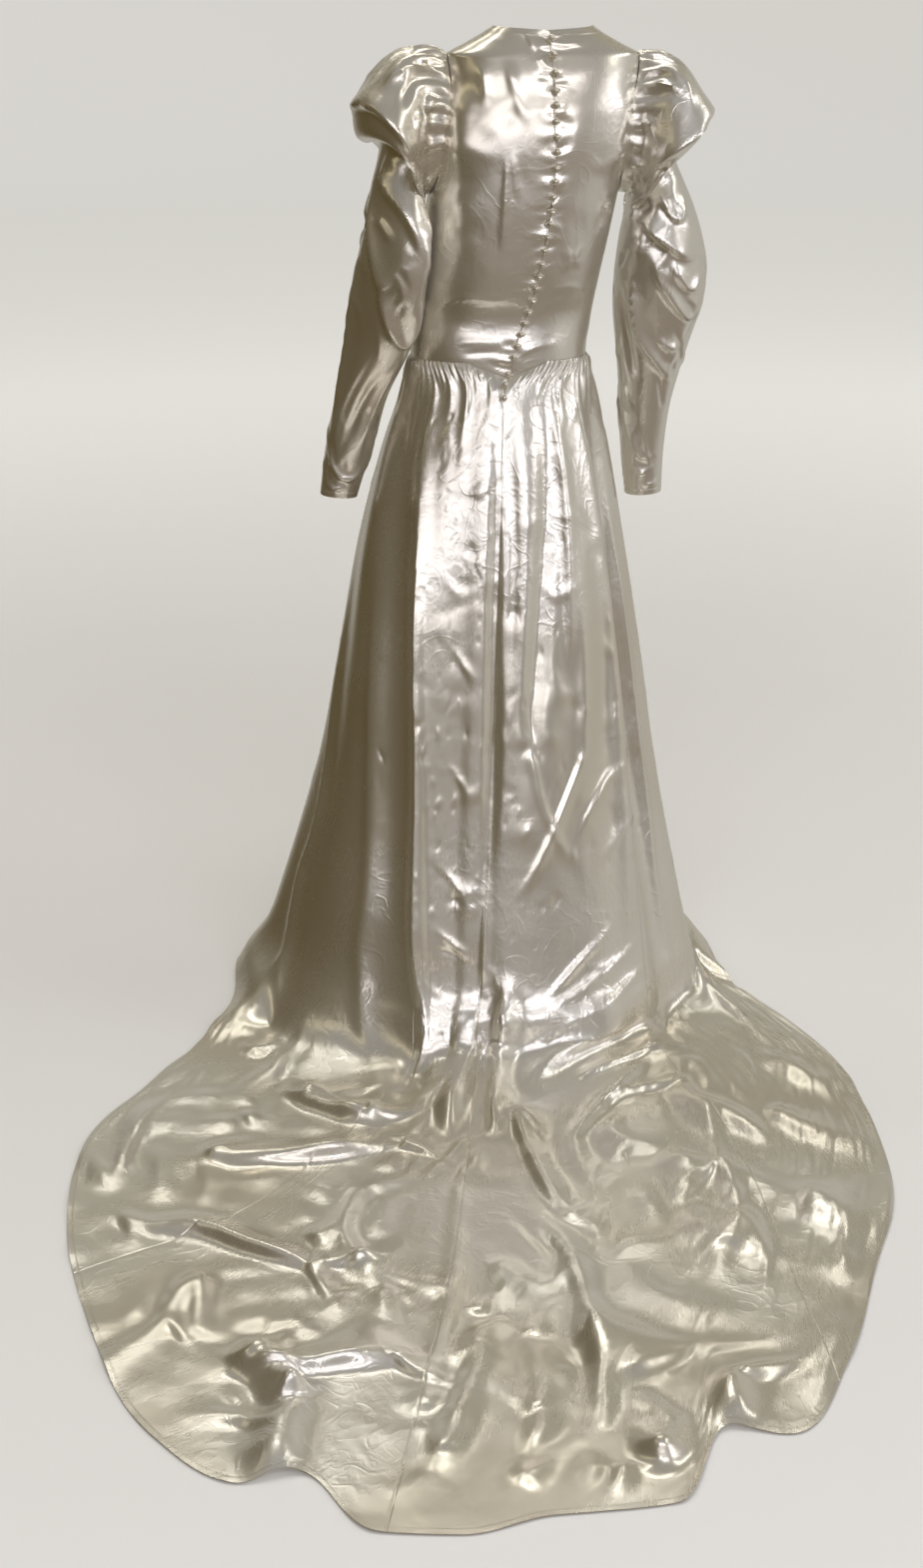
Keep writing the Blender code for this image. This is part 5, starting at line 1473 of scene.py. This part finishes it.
PEARL = (1.0, 0.97, 1.04)
CREAM = (1.0, 0.98, 0.93)
AMBER = (1.0, 0.90, 0.62)
soft_light("window", (0.8, 6.4, 1.64), (0.0, 0.3, 0.0), (7.6, 1.75), 68, PEARL, shape="ELLIPSE")
soft_light("pane", (-2.2, 6.2, 1.2), (0.0, 0.3, 0.0), (1.0, 0.8), 18, PEARL)
soft_light("side_pane", (-5.4, 3.2, 1.4), (0.0, 0.3, -0.3), (2.6, 1.8), 30, PEARL, shape="ELLIPSE")
soft_light("strip_back", (0.0, 4.4, 3.0), (0.0, 0.8, -1.1), (5.5, 0.30), 44, PEARL)
soft_light("strip_left", (4.4, 0.6, 3.0), (0.0, 0.6, -1.1), (4.0, 0.30), 7, AMBER)
soft_light("strip_right", (-4.4, 0.6, 3.0), (0.0, 0.6, -1.1), (4.0, 0.30), 30, CREAM)
soft_light("strip_front", (0.0, -3.2, 3.0), (0.0, 0.2, -1.1), (4.0, 0.30), 20, CREAM)
soft_light("lamp", (0.1, -1.1, 2.9), (0.1, 0.9, -1.5), (2.6, 0.34), 20, CREAM)
soft_light("top", (0.0, 0.6, 4.5), (0.0, 0.6, -1.5), (3.0, 3.0), 82, CREAM, in_reflections=False)

WALL_DARK = (0.082, 0.058, 0.016, 1.0)
WALL_SILVER = (0.215, 0.207, 0.197, 1.0)
WALL_IVORY = (0.255, 0.235, 0.175, 1.0)
WALL_PEARL = (0.46, 0.44, 0.40, 1.0)
NEAR_FLOOR = (0.215, 0.175, 0.13, 1.0)
FAR_FLOOR = (0.53, 0.515, 0.475, 1.0)
world = bpy.data.worlds.new("studio")
world.use_nodes = True
room = Nodes(world.node_tree)
left, back, up = room.split(room.add("ShaderNodeTexCoord", output="Generated"))
walls = room.blend(room.band(back, -0.40, -0.10), WALL_IVORY, WALL_SILVER)
ground = room.blend(room.band(back, -0.1, 0.1), FAR_FLOOR, NEAR_FLOOR)
around = room.blend(room.band(up, -0.05, 0.05), ground, walls)
bright = room.band(0 - left, 0.58, 0.90) * (1 - room.band(abs(up), 0.30, 0.50))
around = room.blend(bright, around, WALL_PEARL)
facing = room.band(0 - back, 0.30, 0.70) * (1 - room.band(abs(up), 0.22, 0.42))
around = room.blend(facing, around, WALL_PEARL)
shaded = room.band(left, 0.24, 0.56) * (1 - room.band(up, 0.56, 0.82))
background = world.node_tree.nodes["Background"]
room.put(background.inputs["Color"], room.blend(shaded, around, WALL_DARK))
bpy.context.scene.world = world
bpy.context.scene.view_settings.view_transform = "Standard"

CAMERA_BEARING = math.radians(171.0)
CAMERA_DISTANCE = 3.40
CAMERA_HEIGHT = 1.65
CAMERA_LENS = 49.3
CAMERA_DROP = math.radians(21.08)
CAMERA_TURN = math.radians(0.88)
camera_data = bpy.data.cameras.new("camera")
camera_data.lens = CAMERA_LENS
camera = bpy.data.objects.new("camera", camera_data)
heading = CAMERA_BEARING + CAMERA_TURN
camera.location = (CAMERA_DISTANCE * math.sin(CAMERA_BEARING) + SKIRT_AXIS_X,
                   -CAMERA_DISTANCE * math.cos(CAMERA_BEARING), CAMERA_HEIGHT - SHOULDER_HEIGHT)
ahead = Vector((-math.sin(heading) * math.cos(CAMERA_DROP),
                math.cos(heading) * math.cos(CAMERA_DROP),
                -math.sin(CAMERA_DROP)))
camera.rotation_euler = ahead.to_track_quat("-Z", "Y").to_euler()
bpy.context.scene.collection.objects.link(camera)
bpy.context.scene.camera = camera
